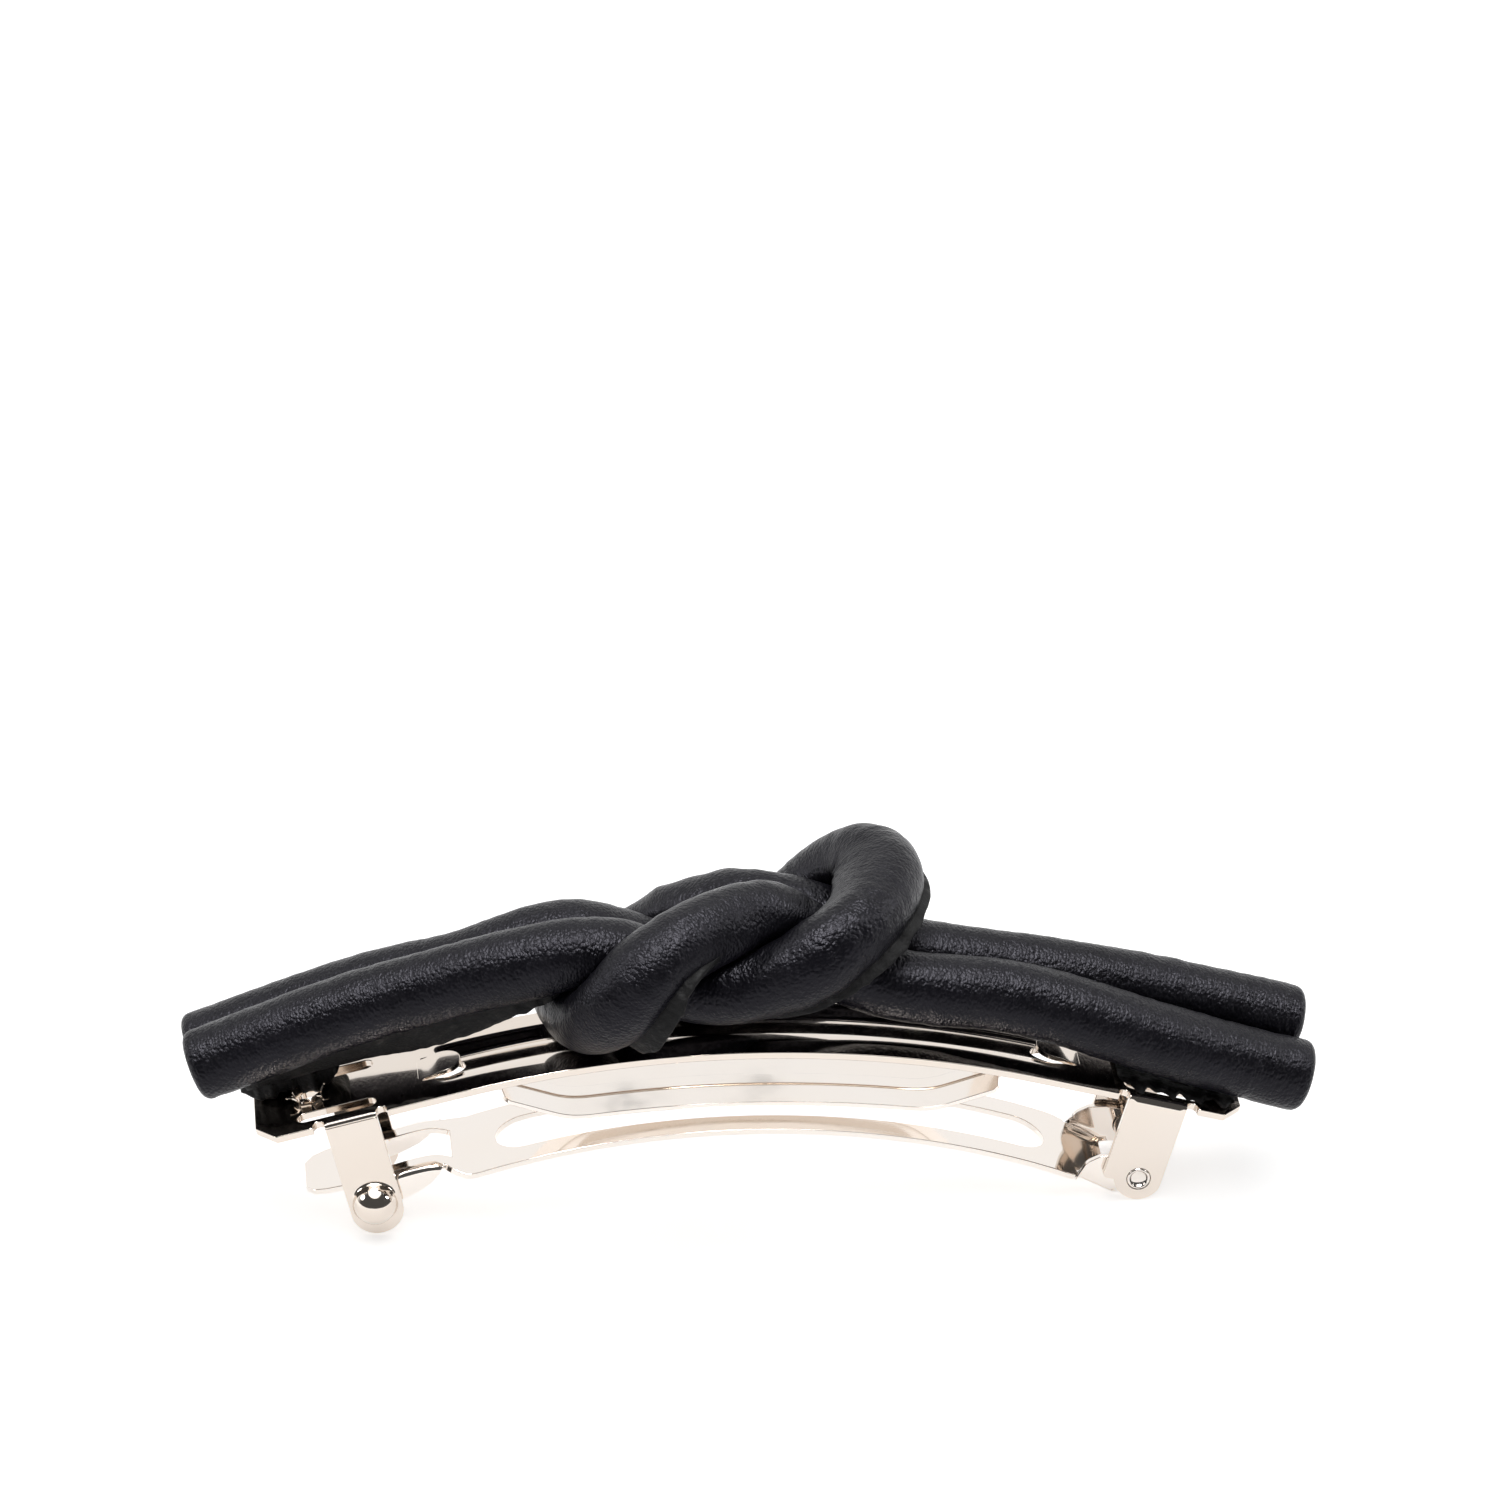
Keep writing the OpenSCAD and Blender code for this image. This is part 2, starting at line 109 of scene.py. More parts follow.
class Nodes:
    """A new material's node tree, with short calls to add and link nodes."""

    def __init__(self, name):
        self.material = bpy.data.materials.new(name)
        self.material.use_nodes = True
        self.tree = self.material.node_tree
        self.shader = self.tree.nodes["Principled BSDF"]

    def add(self, kind, **inputs):
        node = self.tree.nodes.new(kind)
        for name, value in inputs.items():
            socket = node.inputs[name.replace("_", " ")]
            if isinstance(value, bpy.types.NodeSocket):
                self.tree.links.new(value, socket)
            else:
                socket.default_value = value
        return node

    def link(self, source, target):
        self.tree.links.new(source, target)

    def scaled_uv(self, along, around):
        """The cord's own coordinates in metres, divided by a grain cell's two lengths in mm."""
        uv = self.tree.nodes.new("ShaderNodeUVMap")
        uv.uv_map = "UVMap"
        mapping = self.add("ShaderNodeMapping", Vector=uv.outputs["UV"])
        mapping.inputs["Scale"].default_value = (1 / (along * MM), 1 / (around * MM), 1)
        return mapping.outputs["Vector"]

    def object_point(self):
        return self.tree.nodes.new("ShaderNodeTexCoord").outputs["Object"]

    def noise(self, vector, scale, detail=3.0):
        return self.add("ShaderNodeTexNoise", Vector=vector, Scale=scale, Detail=detail).outputs["Fac"]

    def remap(self, value, low, high, to_low, to_high):
        node = self.add("ShaderNodeMapRange", Value=value)
        for name, number in (("From Min", low), ("From Max", high), ("To Min", to_low), ("To Max", to_high)):
            node.inputs[name].default_value = number
        return node.outputs["Result"]

    def ramp(self, value, stops):
        node = self.add("ShaderNodeValToRGB", Fac=value)
        ramp = node.color_ramp
        for i, (place, colour) in enumerate(stops):
            stop = ramp.elements[i] if i < 2 else ramp.elements.new(place)
            stop.position = place
            stop.color = (*colour, 1)
        return node.outputs["Color"]

    def bump(self, height, distance_mm, below=None):
        node = self.add("ShaderNodeBump", Height=height)
        node.inputs["Distance"].default_value = distance_mm * MM
        if below is not None:
            self.link(below, node.inputs["Normal"])
        return node.outputs["Normal"]

    def math(self, operation, a, b):
        node = self.tree.nodes.new("ShaderNodeMath")
        node.operation = operation
        for socket, value in zip(node.inputs, (a, b)):
            if isinstance(value, bpy.types.NodeSocket):
                self.link(value, socket)
            else:
                socket.default_value = value
        return node.outputs[0]

    def voronoi(self, vector, feature="F1", scale=1.0):
        node = self.tree.nodes.new("ShaderNodeTexVoronoi")
        node.feature = feature
        node.inputs["Scale"].default_value = scale
        self.link(vector, node.inputs["Vector"])
        return node.outputs["Distance"]


def leather_material():
    """Black nappa: fine cells drawn out across the cord, pores, and a soft sheen."""
    m = Nodes("black_nappa")
    point = m.object_point()
    grain_uv = m.scaled_uv(0.23, 0.36)
    wobble = m.add("ShaderNodeTexNoise", Vector=grain_uv, Scale=0.7, Detail=2.0).outputs["Color"]
    shifted = m.tree.nodes.new("ShaderNodeVectorMath")
    shifted.operation = "MULTIPLY_ADD"
    m.link(wobble, shifted.inputs[0])
    shifted.inputs[1].default_value = (1.1, 1.1, 0)
    m.link(grain_uv, shifted.inputs[2])
    cells = m.voronoi(shifted.outputs["Vector"], "F1")
    pores = m.noise(grain_uv, 2.6, 3.0)
    folds = m.noise(m.scaled_uv(1.1, 3.6), 1.0, 3.0)
    tone = m.noise(point, 260, 3.0)
    m.link(m.ramp(tone, [(0.3, (0.0026, 0.0025, 0.0042)), (0.7, (0.005, 0.0047, 0.0076))]),
           m.shader.inputs["Base Color"])
    m.link(m.remap(m.noise(point, 520, 4.0), 0.3, 0.7, 0.27, 0.38), m.shader.inputs["Roughness"])
    m.shader.inputs["Specular IOR Level"].default_value = 0.19
    m.shader.inputs["Specular Tint"].default_value = (0.9, 0.88, 1, 1)
    normal = m.bump(folds, 0.05)
    normal = m.bump(m.math("SUBTRACT", 1.0, cells), 0.07, normal)
    m.link(m.bump(pores, 0.028, normal), m.shader.inputs["Normal"])
    return m.material


def rough_leather_material():
    """The raw flesh side and cut edge of the leather, matted with black glue."""
    m = Nodes("rough_leather")
    point = m.object_point()
    fuzz = m.noise(point, 2600, 8.0)
    clumps = m.noise(point, 900, 4.0)
    m.link(m.ramp(clumps, [(0.35, (0.003, 0.003, 0.0035)), (0.75, (0.012, 0.0115, 0.012))]),
           m.shader.inputs["Base Color"])
    m.link(m.remap(clumps, 0.3, 0.7, 0.5, 0.8), m.shader.inputs["Roughness"])
    m.shader.inputs["Specular IOR Level"].default_value = 0.2
    normal = m.bump(clumps, 0.35)
    m.link(m.bump(fuzz, 0.1, normal), m.shader.inputs["Normal"])
    return m.material


def nickel_material(name, colour, roughness):
    """Bright nickel plate over stamped steel: faint ripples, handling haze and fine scratches."""
    m = Nodes(name)
    point = m.object_point()
    shade = m.noise(point, 90, 2.0)
    warm = tuple(c * f for c, f in zip(colour, (1.0, 0.985, 0.965)))
    m.link(m.ramp(shade, [(0.35, warm), (0.7, colour)]), m.shader.inputs["Base Color"])
    haze = m.noise(point, 420, 5.0)
    m.link(m.remap(haze, 0.3, 0.75, roughness * 0.7, roughness * 1.7), m.shader.inputs["Roughness"])
    m.shader.inputs["Metallic"].default_value = 1.0
    stretched = m.add("ShaderNodeMapping", Vector=point)
    stretched.inputs["Scale"].default_value = (60, 1400, 1400)
    scratches = m.noise(stretched.outputs["Vector"], 1.0, 2.0)
    normal = m.bump(m.noise(point, 130, 1.0), 0.03)
    m.link(m.bump(scratches, 0.0006, normal), m.shader.inputs["Normal"])
    return m.material


FLOOR_GLOW = 0.54


def floor_material():
    m = Nodes("studio_floor")
    shade = m.noise(m.object_point(), 3.0, 2.0)
    m.link(m.ramp(shade, [(0.3, (0.86, 0.86, 0.865)), (0.7, (0.88, 0.88, 0.88))]),
           m.shader.inputs["Base Color"])
    m.shader.inputs["Roughness"].default_value = 0.6
    m.shader.inputs["Specular IOR Level"].default_value = 0.05
    m.shader.inputs["Emission Color"].default_value = (1, 1, 1, 1)
    m.shader.inputs["Emission Strength"].default_value = FLOOR_GLOW
    return m.material


LEATHER = leather_material()
ROUGH = rough_leather_material()
NICKEL = nickel_material("nickel_plate", (0.76, 0.69, 0.625), 0.06)
NICKEL_ARM = nickel_material("nickel_arm", (0.87, 0.815, 0.765), 0.07)
SPRING = nickel_material("spring_steel", (0.85, 0.8, 0.755), 0.08)
PIN_STEEL = nickel_material("hinge_steel", (0.8, 0.745, 0.7), 0.12)


# ---- Meshes ------------------------------------------------------------------------------


def add_piece(name, points, faces, material, body, replaced=(), normals=None, uv=None):
    """A mesh piece from points in mm in the clasp's frame, riding on a CAD body."""
    mesh = bpy.data.meshes.new(name)
    mesh.from_pydata(stand(np.asarray(points, float)).tolist(), [], [list(f) for f in faces])
    mesh.update()
    mesh.shade_smooth()
    if uv is not None:
        layer = mesh.uv_layers.new(name="UVMap")
        layer.data.foreach_set("uv", np.asarray(uv, np.float32).ravel())
    if normals is not None:
        mesh.normals_split_custom_set_from_vertices(turned(np.asarray(normals, float)).tolist())
    mesh.materials.append(material)
    piece = bpy.data.objects.new(name, mesh)
    bpy.context.scene.collection.objects.link(piece)
    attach(piece, body)
    if replaced:
        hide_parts(*replaced)
    return piece


def bands(rings, sides):
    """Quads between each ring of points and the next, for rings stored one after another."""
    return [(i * sides + k, i * sides + (k + 1) % sides, (i + 1) * sides + (k + 1) % sides,
             (i + 1) * sides + k) for i in range(rings - 1) for k in range(sides)]


def closed_tube(rings, sides):
    """The quads of a tube of rings and a face over each end."""
    last = (rings - 1) * sides
    return bands(rings, sides) + [list(range(sides))[::-1], list(range(last, last + sides))]


def arc(cx, cy, r, start, end, count=14):
    a = np.radians(np.linspace(start, end, count))
    return np.stack([cx + r * np.cos(a), cy + r * np.sin(a)], 1).tolist()


def stadium(cx, cy, length, width):
    r = width / 2
    reach = length / 2 - r
    return arc(cx + reach, cy, r, -90, 90) + arc(cx - reach, cy, r, 90, 270)


def dense(loop, step=0.3):
    """A closed outline with its long stretches divided."""
    loop = np.asarray(loop, float)
    found = []
    for a, b in zip(loop, np.roll(loop, -1, 0)):
        count = max(1, int(np.ceil(np.linalg.norm(b - a) / step)))
        if np.linalg.norm(b - a) > 1e-6:
            found += [a + (b - a) * i / count for i in range(count)]
    return np.array(found)


def signed_area(loop):
    nxt = np.roll(loop, -1, 0)
    return 0.5 * np.sum(loop[:, 0] * nxt[:, 1] - nxt[:, 0] * loop[:, 1])


def inside(points, loops):
    """Even-odd test of points against closed outlines."""
    odd = np.zeros(len(points), bool)
    for loop in loops:
        nxt = np.roll(loop, -1, 0)
        for (x0, y0), (x1, y1) in zip(loop, nxt):
            if y0 != y1:
                crosses = (points[:, 1] < y0) != (points[:, 1] < y1)
                at = x0 + (points[:, 1] - y0) / (y1 - y0) * (x1 - x0)
                odd ^= crosses & (points[:, 0] < at)
    return odd


def left_of(loop):
    """Unit directions into the material, which lies on the left of every outline."""
    ahead = unit(np.roll(loop, -1, 0) - np.roll(loop, 1, 0))
    return np.stack([-ahead[:, 1], ahead[:, 0]], 1)


EDGE_ANGLES = np.radians([45, 90])
GRID_CLEARANCE = 0.16


def bent_sheet(outer, holes, surface, thickness, step=0.6, rows=(), edge=0.07):
    """Points, faces and normals of a piece of sheet metal with rounded edges.

    outer and holes are outlines of the flat pattern in mm, and surface(p) gives the points and
    normals of its top face once it is bent. rows are extra Y lines where the sheet is shaped.
    """
    loops = []
    for i, loop in enumerate([outer] + list(holes)):
        loop = dense(loop)
        wrong_way = (signed_area(loop) > 0) != (i == 0)
        loops.append(loop[::-1] if wrong_way else loop)
    inset = [loop + left_of(loop) * edge for loop in loops]
    low, high = inset[0].min(0), inset[0].max(0)
    ys = np.unique(np.round(np.concatenate([np.arange(low[1], high[1], step), rows]), 3))
    xs = np.arange(low[0] + step / 2, high[0], step)
    grid = np.array([(x, y) for x in xs for y in ys])
    grid = grid[inside(grid, inset)]
    rim = np.concatenate(inset)
    near = np.array([np.min(np.sum((rim - g) ** 2, 1)) for g in grid])
    grid = grid[near > GRID_CLEARANCE ** 2]
    flat = np.concatenate([rim, grid])
    links, base = [], 0
    for loop in inset:
        n = len(loop)
        links += [(base + i, base + (i + 1) % n) for i in range(n)]
        base += n
    found = delaunay_2d_cdt([Vector(p) for p in flat], links, [], 0, 1e-7)
    plan = np.array([(v.x, v.y) for v in found[0]])
    triangles = np.array([f for f in found[2] if len(f) == 3])
    centres = plan[triangles].mean(1)
    triangles = triangles[inside(centres, inset)]
    where = {old: new for new, olds in enumerate(found[3]) for old in olds}
    top, normal = surface(plan)
    points = [top, top - normal * thickness]
    normals = [normal, -normal]
    count = len(plan)
    faces = triangles.tolist() + (triangles[:, ::-1] + count).tolist()
    size, base = 2 * count, 0
    for loop, inner in zip(loops, inset):
        n = len(loop)
        ring_top, ring_normal = surface(inner)
        outline = surface(loop)[0]
        out = unit(outline - ring_top)
        rings = [[where[base + i] for i in range(n)]]
        for angle in EDGE_ANGLES:
            c, s = math.cos(angle), math.sin(angle)
            points.append(ring_top + out * edge * s - ring_normal * edge * (1 - c))
            normals.append(unit(ring_normal * c + out * s))
            rings.append(list(range(size, size + n)))
            size += n
        for angle in EDGE_ANGLES[::-1]:
            c, s = math.cos(angle), math.sin(angle)
            points.append(ring_top + out * edge * s - ring_normal * (thickness - edge * (1 - c)))
            normals.append(unit(out * s - ring_normal * c))
            rings.append(list(range(size, size + n)))
            size += n
        rings.append([where[base + i] + count for i in range(n)])
        for a, b in zip(rings, rings[1:]):
            faces += [(a[i], b[i], b[(i + 1) % n], a[(i + 1) % n]) for i in range(n)]
        base += n
    return np.concatenate(points), faces, np.concatenate(normals)


def surface_of(place):
    """surface(p) for bent_sheet from place(p), with normals by small differences."""
    h = 1e-3

    def surface(p):
        p = np.asarray(p, float)
        along = place(p + [h, 0]) - place(p - [h, 0])
        across = place(p + [0, h]) - place(p - [0, h])
        return place(p), unit(np.cross(along, across))

    return surface


def folded(across, bend_y, bend_r):
    """Y and depth of a flap that turns down past bend_y, from its flat-pattern Y."""
    past = np.maximum(np.abs(across) - bend_y, 0)
    angle = np.minimum(past / bend_r, math.pi / 2)
    depth = bend_r * (1 - np.cos(angle)) + np.maximum(past - bend_r * math.pi / 2, 0)
    return np.sign(across) * (np.minimum(np.abs(across), bend_y) + bend_r * np.sin(angle)), depth


def pattern_y(depth, bend_y, bend_r):
    """Flat-pattern Y of the point of a flap that ends up at that depth below the sheet's top."""
    return bend_y + depth + bend_r * (math.pi / 2 - 1)


# ---- Base plate and catch tabs --------------------------------------------------------------

BLANK_LENGTH = 80
PLATE_W = 9.6
SHEET_T = 0.6
ARCH_R = 92
END_SLOPE = math.radians(14.5)
ARCH_S = ARCH_R * END_SLOPE
HALF = BLANK_LENGTH / 2
EDGE_Y = PLATE_W / 2
BEND_R = 0.4
BEND_Y = EDGE_Y - BEND_R
CHANNEL_DEPTH = 0.8
FLANGE_Y = 3.1
FRONT_W = 4.6
BACK_W = 1.3
CHANNEL_HALF = 25.6
END_W = 1.4
NOTCH_R = 0.45
NOTCH_INSET = 0.35
PIN_S = HALF - 6.6
PIN_DROP = 7.25
EAR_LEFT, EAR_RIGHT, EAR_R = 2.9, 1.9, 1.95
TAB_S = HALF - 7.6
TAB_W = 4.2
TAB_LENGTH = 10.9
FLAP_MARGIN = 0.3
DOME_DROP = 8.0
EYELET_S = HALF - 4.4
SLOT_S = HALF - 6.6
SLOT_Y = 2.9
SLOT_LENGTH, SLOT_W = 6.4, 1.3
PIN_BORE_R = 0.97
EYELET_R = 0.95
PETALS = 6
MOUTH_S = 24.6
MOUTH_END = 26.3
MOUTH_R = 1.7
TONGUE_R = 1.5
TONGUE_ROOT = 26.7


def arch(s):
    """Points, and normals, of the plate's crown line at distances s along it."""
    a = np.clip(s, -ARCH_S, ARCH_S) / ARCH_R
    beyond = s - np.clip(s, -ARCH_S, ARCH_S)
    zero = np.zeros_like(a)
    line = np.stack([ARCH_R * np.sin(a) + beyond * np.cos(a), zero,
                     ARCH_R * (np.cos(a) - 1) - beyond * np.sin(a)], -1)
    return line, np.stack([np.sin(a), zero, np.cos(a)], -1)


def plate_point(s, y, depth):
    line, normal = arch(s)
    return line - normal * depth[..., None] + y[..., None] * np.array([0, 1.0, 0])


def plate_place(p):
    s, y = p[..., 0], p[..., 1]
    in_ear = (s > PIN_S - EAR_LEFT - FLAP_MARGIN) & (s < PIN_S + EAR_RIGHT + FLAP_MARGIN)
    in_tab = np.abs(s + TAB_S) < TAB_W / 2 + FLAP_MARGIN
    turned_y, drop = folded(y, BEND_Y, BEND_R)
    flap = in_ear | in_tab
    front, back = smoothstep((y + FLANGE_Y) / FRONT_W), smoothstep((FLANGE_Y - y) / BACK_W)
    channel = CHANNEL_DEPTH * front * back
    channel = channel * smoothstep((CHANNEL_HALF - np.abs(s)) / END_W)
    return plate_point(s, np.where(flap, turned_y, y), np.where(flap, drop, channel))


def tab_place(p):
    turned_y, drop = folded(p[..., 1], BEND_Y, BEND_R)
    return plate_point(p[..., 0], turned_y, drop)


def flap_outline(side_points, start, end):
    """One long edge of the blank in +Y: notches and a flap's outline between start and end."""
    notch_y = EDGE_Y - NOTCH_INSET
    before = [(start - 2 * NOTCH_R, EDGE_Y)] + arc(start - NOTCH_R, notch_y, NOTCH_R, 180, 360, 9)
    after = arc(end + NOTCH_R, notch_y, NOTCH_R, 180, 360, 9) + [(end + 2 * NOTCH_R, EDGE_Y)]
    return before + side_points + after


def ear_flap():
    start, end = PIN_S - EAR_LEFT, PIN_S + EAR_RIGHT
    pin_y = pattern_y(PIN_DROP, BEND_Y, BEND_R)
    past_pin = 0.5
    corner = 0.25
    shoulder = pin_y + past_pin
    half_chord = math.sqrt(EAR_R ** 2 - past_pin ** 2)
    first = math.degrees(math.atan2(past_pin, -half_chord))
    points = [(start, shoulder - corner), (start + corner, shoulder), (PIN_S - half_chord, shoulder)]
    points += arc(PIN_S, pin_y, EAR_R, first, 15, 24)[1:] + [(end, pin_y)]
    return flap_outline(points, start, end)


def tab_root():
    start, end = -TAB_S - TAB_W / 2, -TAB_S + TAB_W / 2
    root = BEND_Y + BEND_R * math.pi / 2
    return flap_outline([(start, root), (end, root)], start, end)


def both_sides(edge):
    """A closed blank from its +Y edge, which runs from the left to the right."""
    return [(s, -y) for s, y in edge] + edge[::-1]


def base_plate():
    chamfer_s, chamfer_y = 1.6, 2
    tip = [(-HALF, EDGE_Y - chamfer_y), (chamfer_s - HALF, EDGE_Y)]
    tail = [(HALF - chamfer_s, EDGE_Y), (HALF, EDGE_Y - chamfer_y)]
    outer = both_sides(tip + tab_root() + ear_flap() + tail)
    pin_y = pattern_y(PIN_DROP, BEND_Y, BEND_R)
    holes = [arc(PIN_S, s * pin_y, PIN_BORE_R, 0, 345, 28) for s in (-1, 1)]
    for s in (-1, 1):
        holes.append(arc(s * EYELET_S, 0, EYELET_R, 0, 345, 20))
        holes += [stadium(s * SLOT_S, side * SLOT_Y, SLOT_LENGTH, SLOT_W) for side in (-1, 1)]
        mouth = [(MOUTH_END, -MOUTH_R), (MOUTH_END, MOUTH_R)] + arc(MOUTH_S, 0, MOUTH_R, 90, 270, 18)
        holes.append([(s * x, y) for x, y in mouth])
    back_wall = FLANGE_Y - BACK_W
    walls = np.r_[np.linspace(-FLANGE_Y, back_wall, 18), np.linspace(back_wall, FLANGE_Y, 9)]
    points, faces, normals = bent_sheet(outer, holes, surface_of(plate_place), SHEET_T, rows=walls)
    parts = [(points, faces, normals)] + [tongue(s) for s in (-1, 1)]
    parts += [petal(s, k) for s in (-1, 1) for k in range(PETALS)]
    points, faces, normals = joined(parts)
    add_piece("nickel_base_plate", points, faces, NICKEL, "root", ["base_plate"], normals)


def joined(parts):
    faces, base = [], 0
    for points, own, _ in parts:
        faces += [[i + base for i in f] for f in own]
        base += len(points)
    return np.concatenate([p[0] for p in parts]), faces, np.concatenate([p[2] for p in parts])


def tongue(side):
    """Half-round tongue lanced up over the end of the channel; the bar's tip lies under it."""
    thickness = 0.45
    base_lift, tip_lift, ramp_length = 0.02, 0.34, 2
    outline = [(TONGUE_ROOT, -TONGUE_R), (TONGUE_ROOT, TONGUE_R)]
    outline += arc(MOUTH_S, 0, TONGUE_R, 90, 270, 18)

    def place(p):
        lift = base_lift + tip_lift * smoothstep((TONGUE_ROOT - p[..., 0]) / ramp_length)
        return plate_point(side * p[..., 0], side * p[..., 1], -lift)

    return bent_sheet(outline, [], surface_of(place), thickness, step=0.35)


def petal(side, k):
    """One burst petal of a sewing eyelet, curling up and outwards; no two are quite alike."""
    thickness = 0.16
    turn = math.radians(360 / PETALS * k + 17 + 9 * math.sin(5 * k + side))
    length = 1.35 + 0.22 * math.sin(7 * k + 2 * side)
    outline = [(0, -0.46), (0.55, -0.42), (length * 0.8, -0.2), (length, 0), (length * 0.8, 0.2),
               (0.55, 0.42), (0, 0.46)]
    foot_radius, flare, curl = 0.86, 0.12, 0.42
    crest, rise, sunk = 0.95, 1.25, 0.1

    def place(p):
        t = p[..., 0]
        radius = foot_radius + flare * t + curl * t * t
        height = crest * np.sin(rise * t) - sunk
        sideways = p[..., 1]
        x = radius * math.cos(turn) - sideways * math.sin(turn)
        y = radius * math.sin(turn) + sideways * math.cos(turn)
        return plate_point(side * EYELET_S + x, y, -height)

    return bent_sheet(outline, [], surface_of(place), thickness, step=0.3, edge=0.03)


ROUNDING_SLACK = 0.02
DOME_PROFILE = [(2.02, -0.2), (2.0, -0.04), (1.88, 0.03), (1.77, 0.16), (1.7, 0.38), (1.6, 0.68),
                (1.4, 1.02), (1.1, 1.34), (0.75, 1.57), (0.38, 1.7), (0.0, 1.75)]


def rounded_profile(profile, per=4):
    """A smooth curve through the profile's points, with per steps between each two."""
    p = np.array(profile, float)
    ends = np.vstack([2 * p[0] - p[1], p, 2 * p[-1] - p[-2]])
    found = []
    for i in range(1, len(ends) - 2):
        a, b, c, d = ends[i - 1: i + 3]
        for t in np.linspace(0, 1, per, endpoint=False):
            found.append(0.5 * (2 * b + (c - a) * t + (2 * a - 5 * b + 4 * c - d) * t * t
                                + (3 * b - a - 3 * c + d) * t ** 3))
    return np.array(found + [p[-1]])


def lathe(profile, centre, axis, start, sides=48):
    """Points, faces and normals of a turned shape; the profile is (radius, height along axis)."""
    p = np.asarray(profile, float)
    across = np.cross(axis, start)
    a = np.linspace(0, 2 * math.pi, sides, endpoint=False)
    spoke = np.cos(a)[:, None] * start + np.sin(a)[:, None] * across
    points = centre + p[:, None, :1] * spoke + p[:, None, 1:] * axis
    run = np.gradient(p, axis=0)
    normals = unit(run[:, None, 1:] * spoke - run[:, None, :1] * axis)
    return points.reshape(-1, 3), bands(len(p), sides), normals.reshape(-1, 3)


def catch_tab(side, name, node, body):
    start, end = -TAB_S - TAB_W / 2, -TAB_S + TAB_W / 2
    corner = TAB_W / 2 - ROUNDING_SLACK
    top = BEND_Y + BEND_R * math.pi / 2
    bottom = pattern_y(TAB_LENGTH, BEND_Y, BEND_R)
    outline = [(start, top), (end, top)]
    outline += arc(end - corner, bottom - corner, corner, 0, 90, 10)
    outline += arc(start + corner, bottom - corner, corner, 90, 180, 10)
    outline = [(s, side * y) for s, y in outline]
    sheet = bent_sheet(outline, [], surface_of(tab_place), SHEET_T, edge=0.08)
    line, normal = arch(np.array([-TAB_S]))
    centre = line[0] - normal[0] * DOME_DROP + np.array([0, side * EDGE_Y, 0])
    dome = lathe(rounded_profile(DOME_PROFILE), centre, np.array([0, float(side), 0]), normal[0])
    points, faces, normals = joined([sheet, dome])
    add_piece(name, points, faces, NICKEL, body, [node], normals)


# ---- Clasp arm, tension bar and pin ---------------------------------------------------------


class SideView:
    """A side view path in X and Z that a strip is bent along, measured by its length.

    STEP is its sampling in mm, SPARE the samples added past each end, and REACH how far ahead
    and behind its slope is taken.
    """

    STEP = 0.1
    SPARE = 60
    REACH = 0.15

    def __init__(self, path, soften=0.45):
        path = np.array(path, float)
        steps = lengths(path)
        fine = np.arange(0, steps[-1], self.STEP)
        line = np.stack([np.interp(fine, steps, path[:, i]) for i in range(2)], 1)
        pad = int(3 * soften / self.STEP)
        kernel = np.exp(-0.5 * (np.arange(-pad, pad + 1) * self.STEP / soften) ** 2)
        kernel /= kernel.sum()
        first, last = line[1] - line[0], line[-1] - line[-2]
        head = line[0] - first * np.arange(pad + self.SPARE, 0, -1)[:, None]
        tail = line[-1] + last * np.arange(1, pad + self.SPARE + 1)[:, None]
        line = np.vstack([head, line, tail])
        line = np.stack([np.convolve(line[:, i], kernel, "valid") for i in range(2)], 1)
        self.line = line
        self.length = lengths(line)

    def s_at(self, x):
        return np.interp(x, self.line[:, 0], self.length)

    def at(self, s):
        return tuple(np.interp(s, self.length, self.line[:, i]) for i in range(2))

    def point(self, s, y, depth):
        x, z = self.at(s)
        ahead, behind = self.at(s + self.REACH), self.at(s - self.REACH)
        dx, dz = ahead[0] - behind[0], ahead[1] - behind[1]
        run = np.hypot(dx, dz)
        return np.stack([x + dz / run * depth, y, z - dx / run * depth], -1)

    def flat(self, x, z):
        """Distance along and depth below the path of a point in the side view."""
        gap = np.hypot(self.line[:, 0] - x, self.line[:, 1] - z)
        i = int(np.clip(np.argmin(gap), 1, len(gap) - 2))
        ahead = unit(self.line[i + 1] - self.line[i - 1])
        off = np.array([x, z]) - self.line[i]
        return self.length[i] + off @ ahead, off @ np.array([ahead[1], -ahead[0]])


def arc_path(r, half, top, count=49):
    a = np.linspace(-half, half, count)
    return np.stack([r * np.sin(a), r * np.cos(a) - r + top], 1).tolist()


ARM_HALF = math.radians(18.5)
ARM_R = 71
ARM_DROP = 7.2
ARM_T = 0.5
ARM_Y = 4.5
CATCH_Y = 3.75
LUG_Y = 4.1
LUG_BEND_R = 0.3
LUG_BORE_R = 1.0
LUG_REACH = 1.62
CATCH_FOLD_X, LUG_FOLD_X = -24.45, 26.3
WINDOW_X, WINDOW_LENGTH, WINDOW_W = 1.9, 44, 4.6
CATCH_HOLE = [(-28.8, -2), (-23.6, -2), (-23.6, 2), (-28.8, 2)]
PIP_PROFILE = [(0.8, -0.2), (0.76, 0.02), (0.6, 0.24), (0.35, 0.36), (0.0, 0.4)]
LUG_BEND_Y = LUG_Y - ARM_T - LUG_BEND_R
ARM_Z = -ARM_DROP + ARM_R * (math.cos(ARM_HALF) - 1)
PIN = (arch(np.array([PIN_S]))[0] - arch(np.array([PIN_S]))[1] * PIN_DROP)[0]
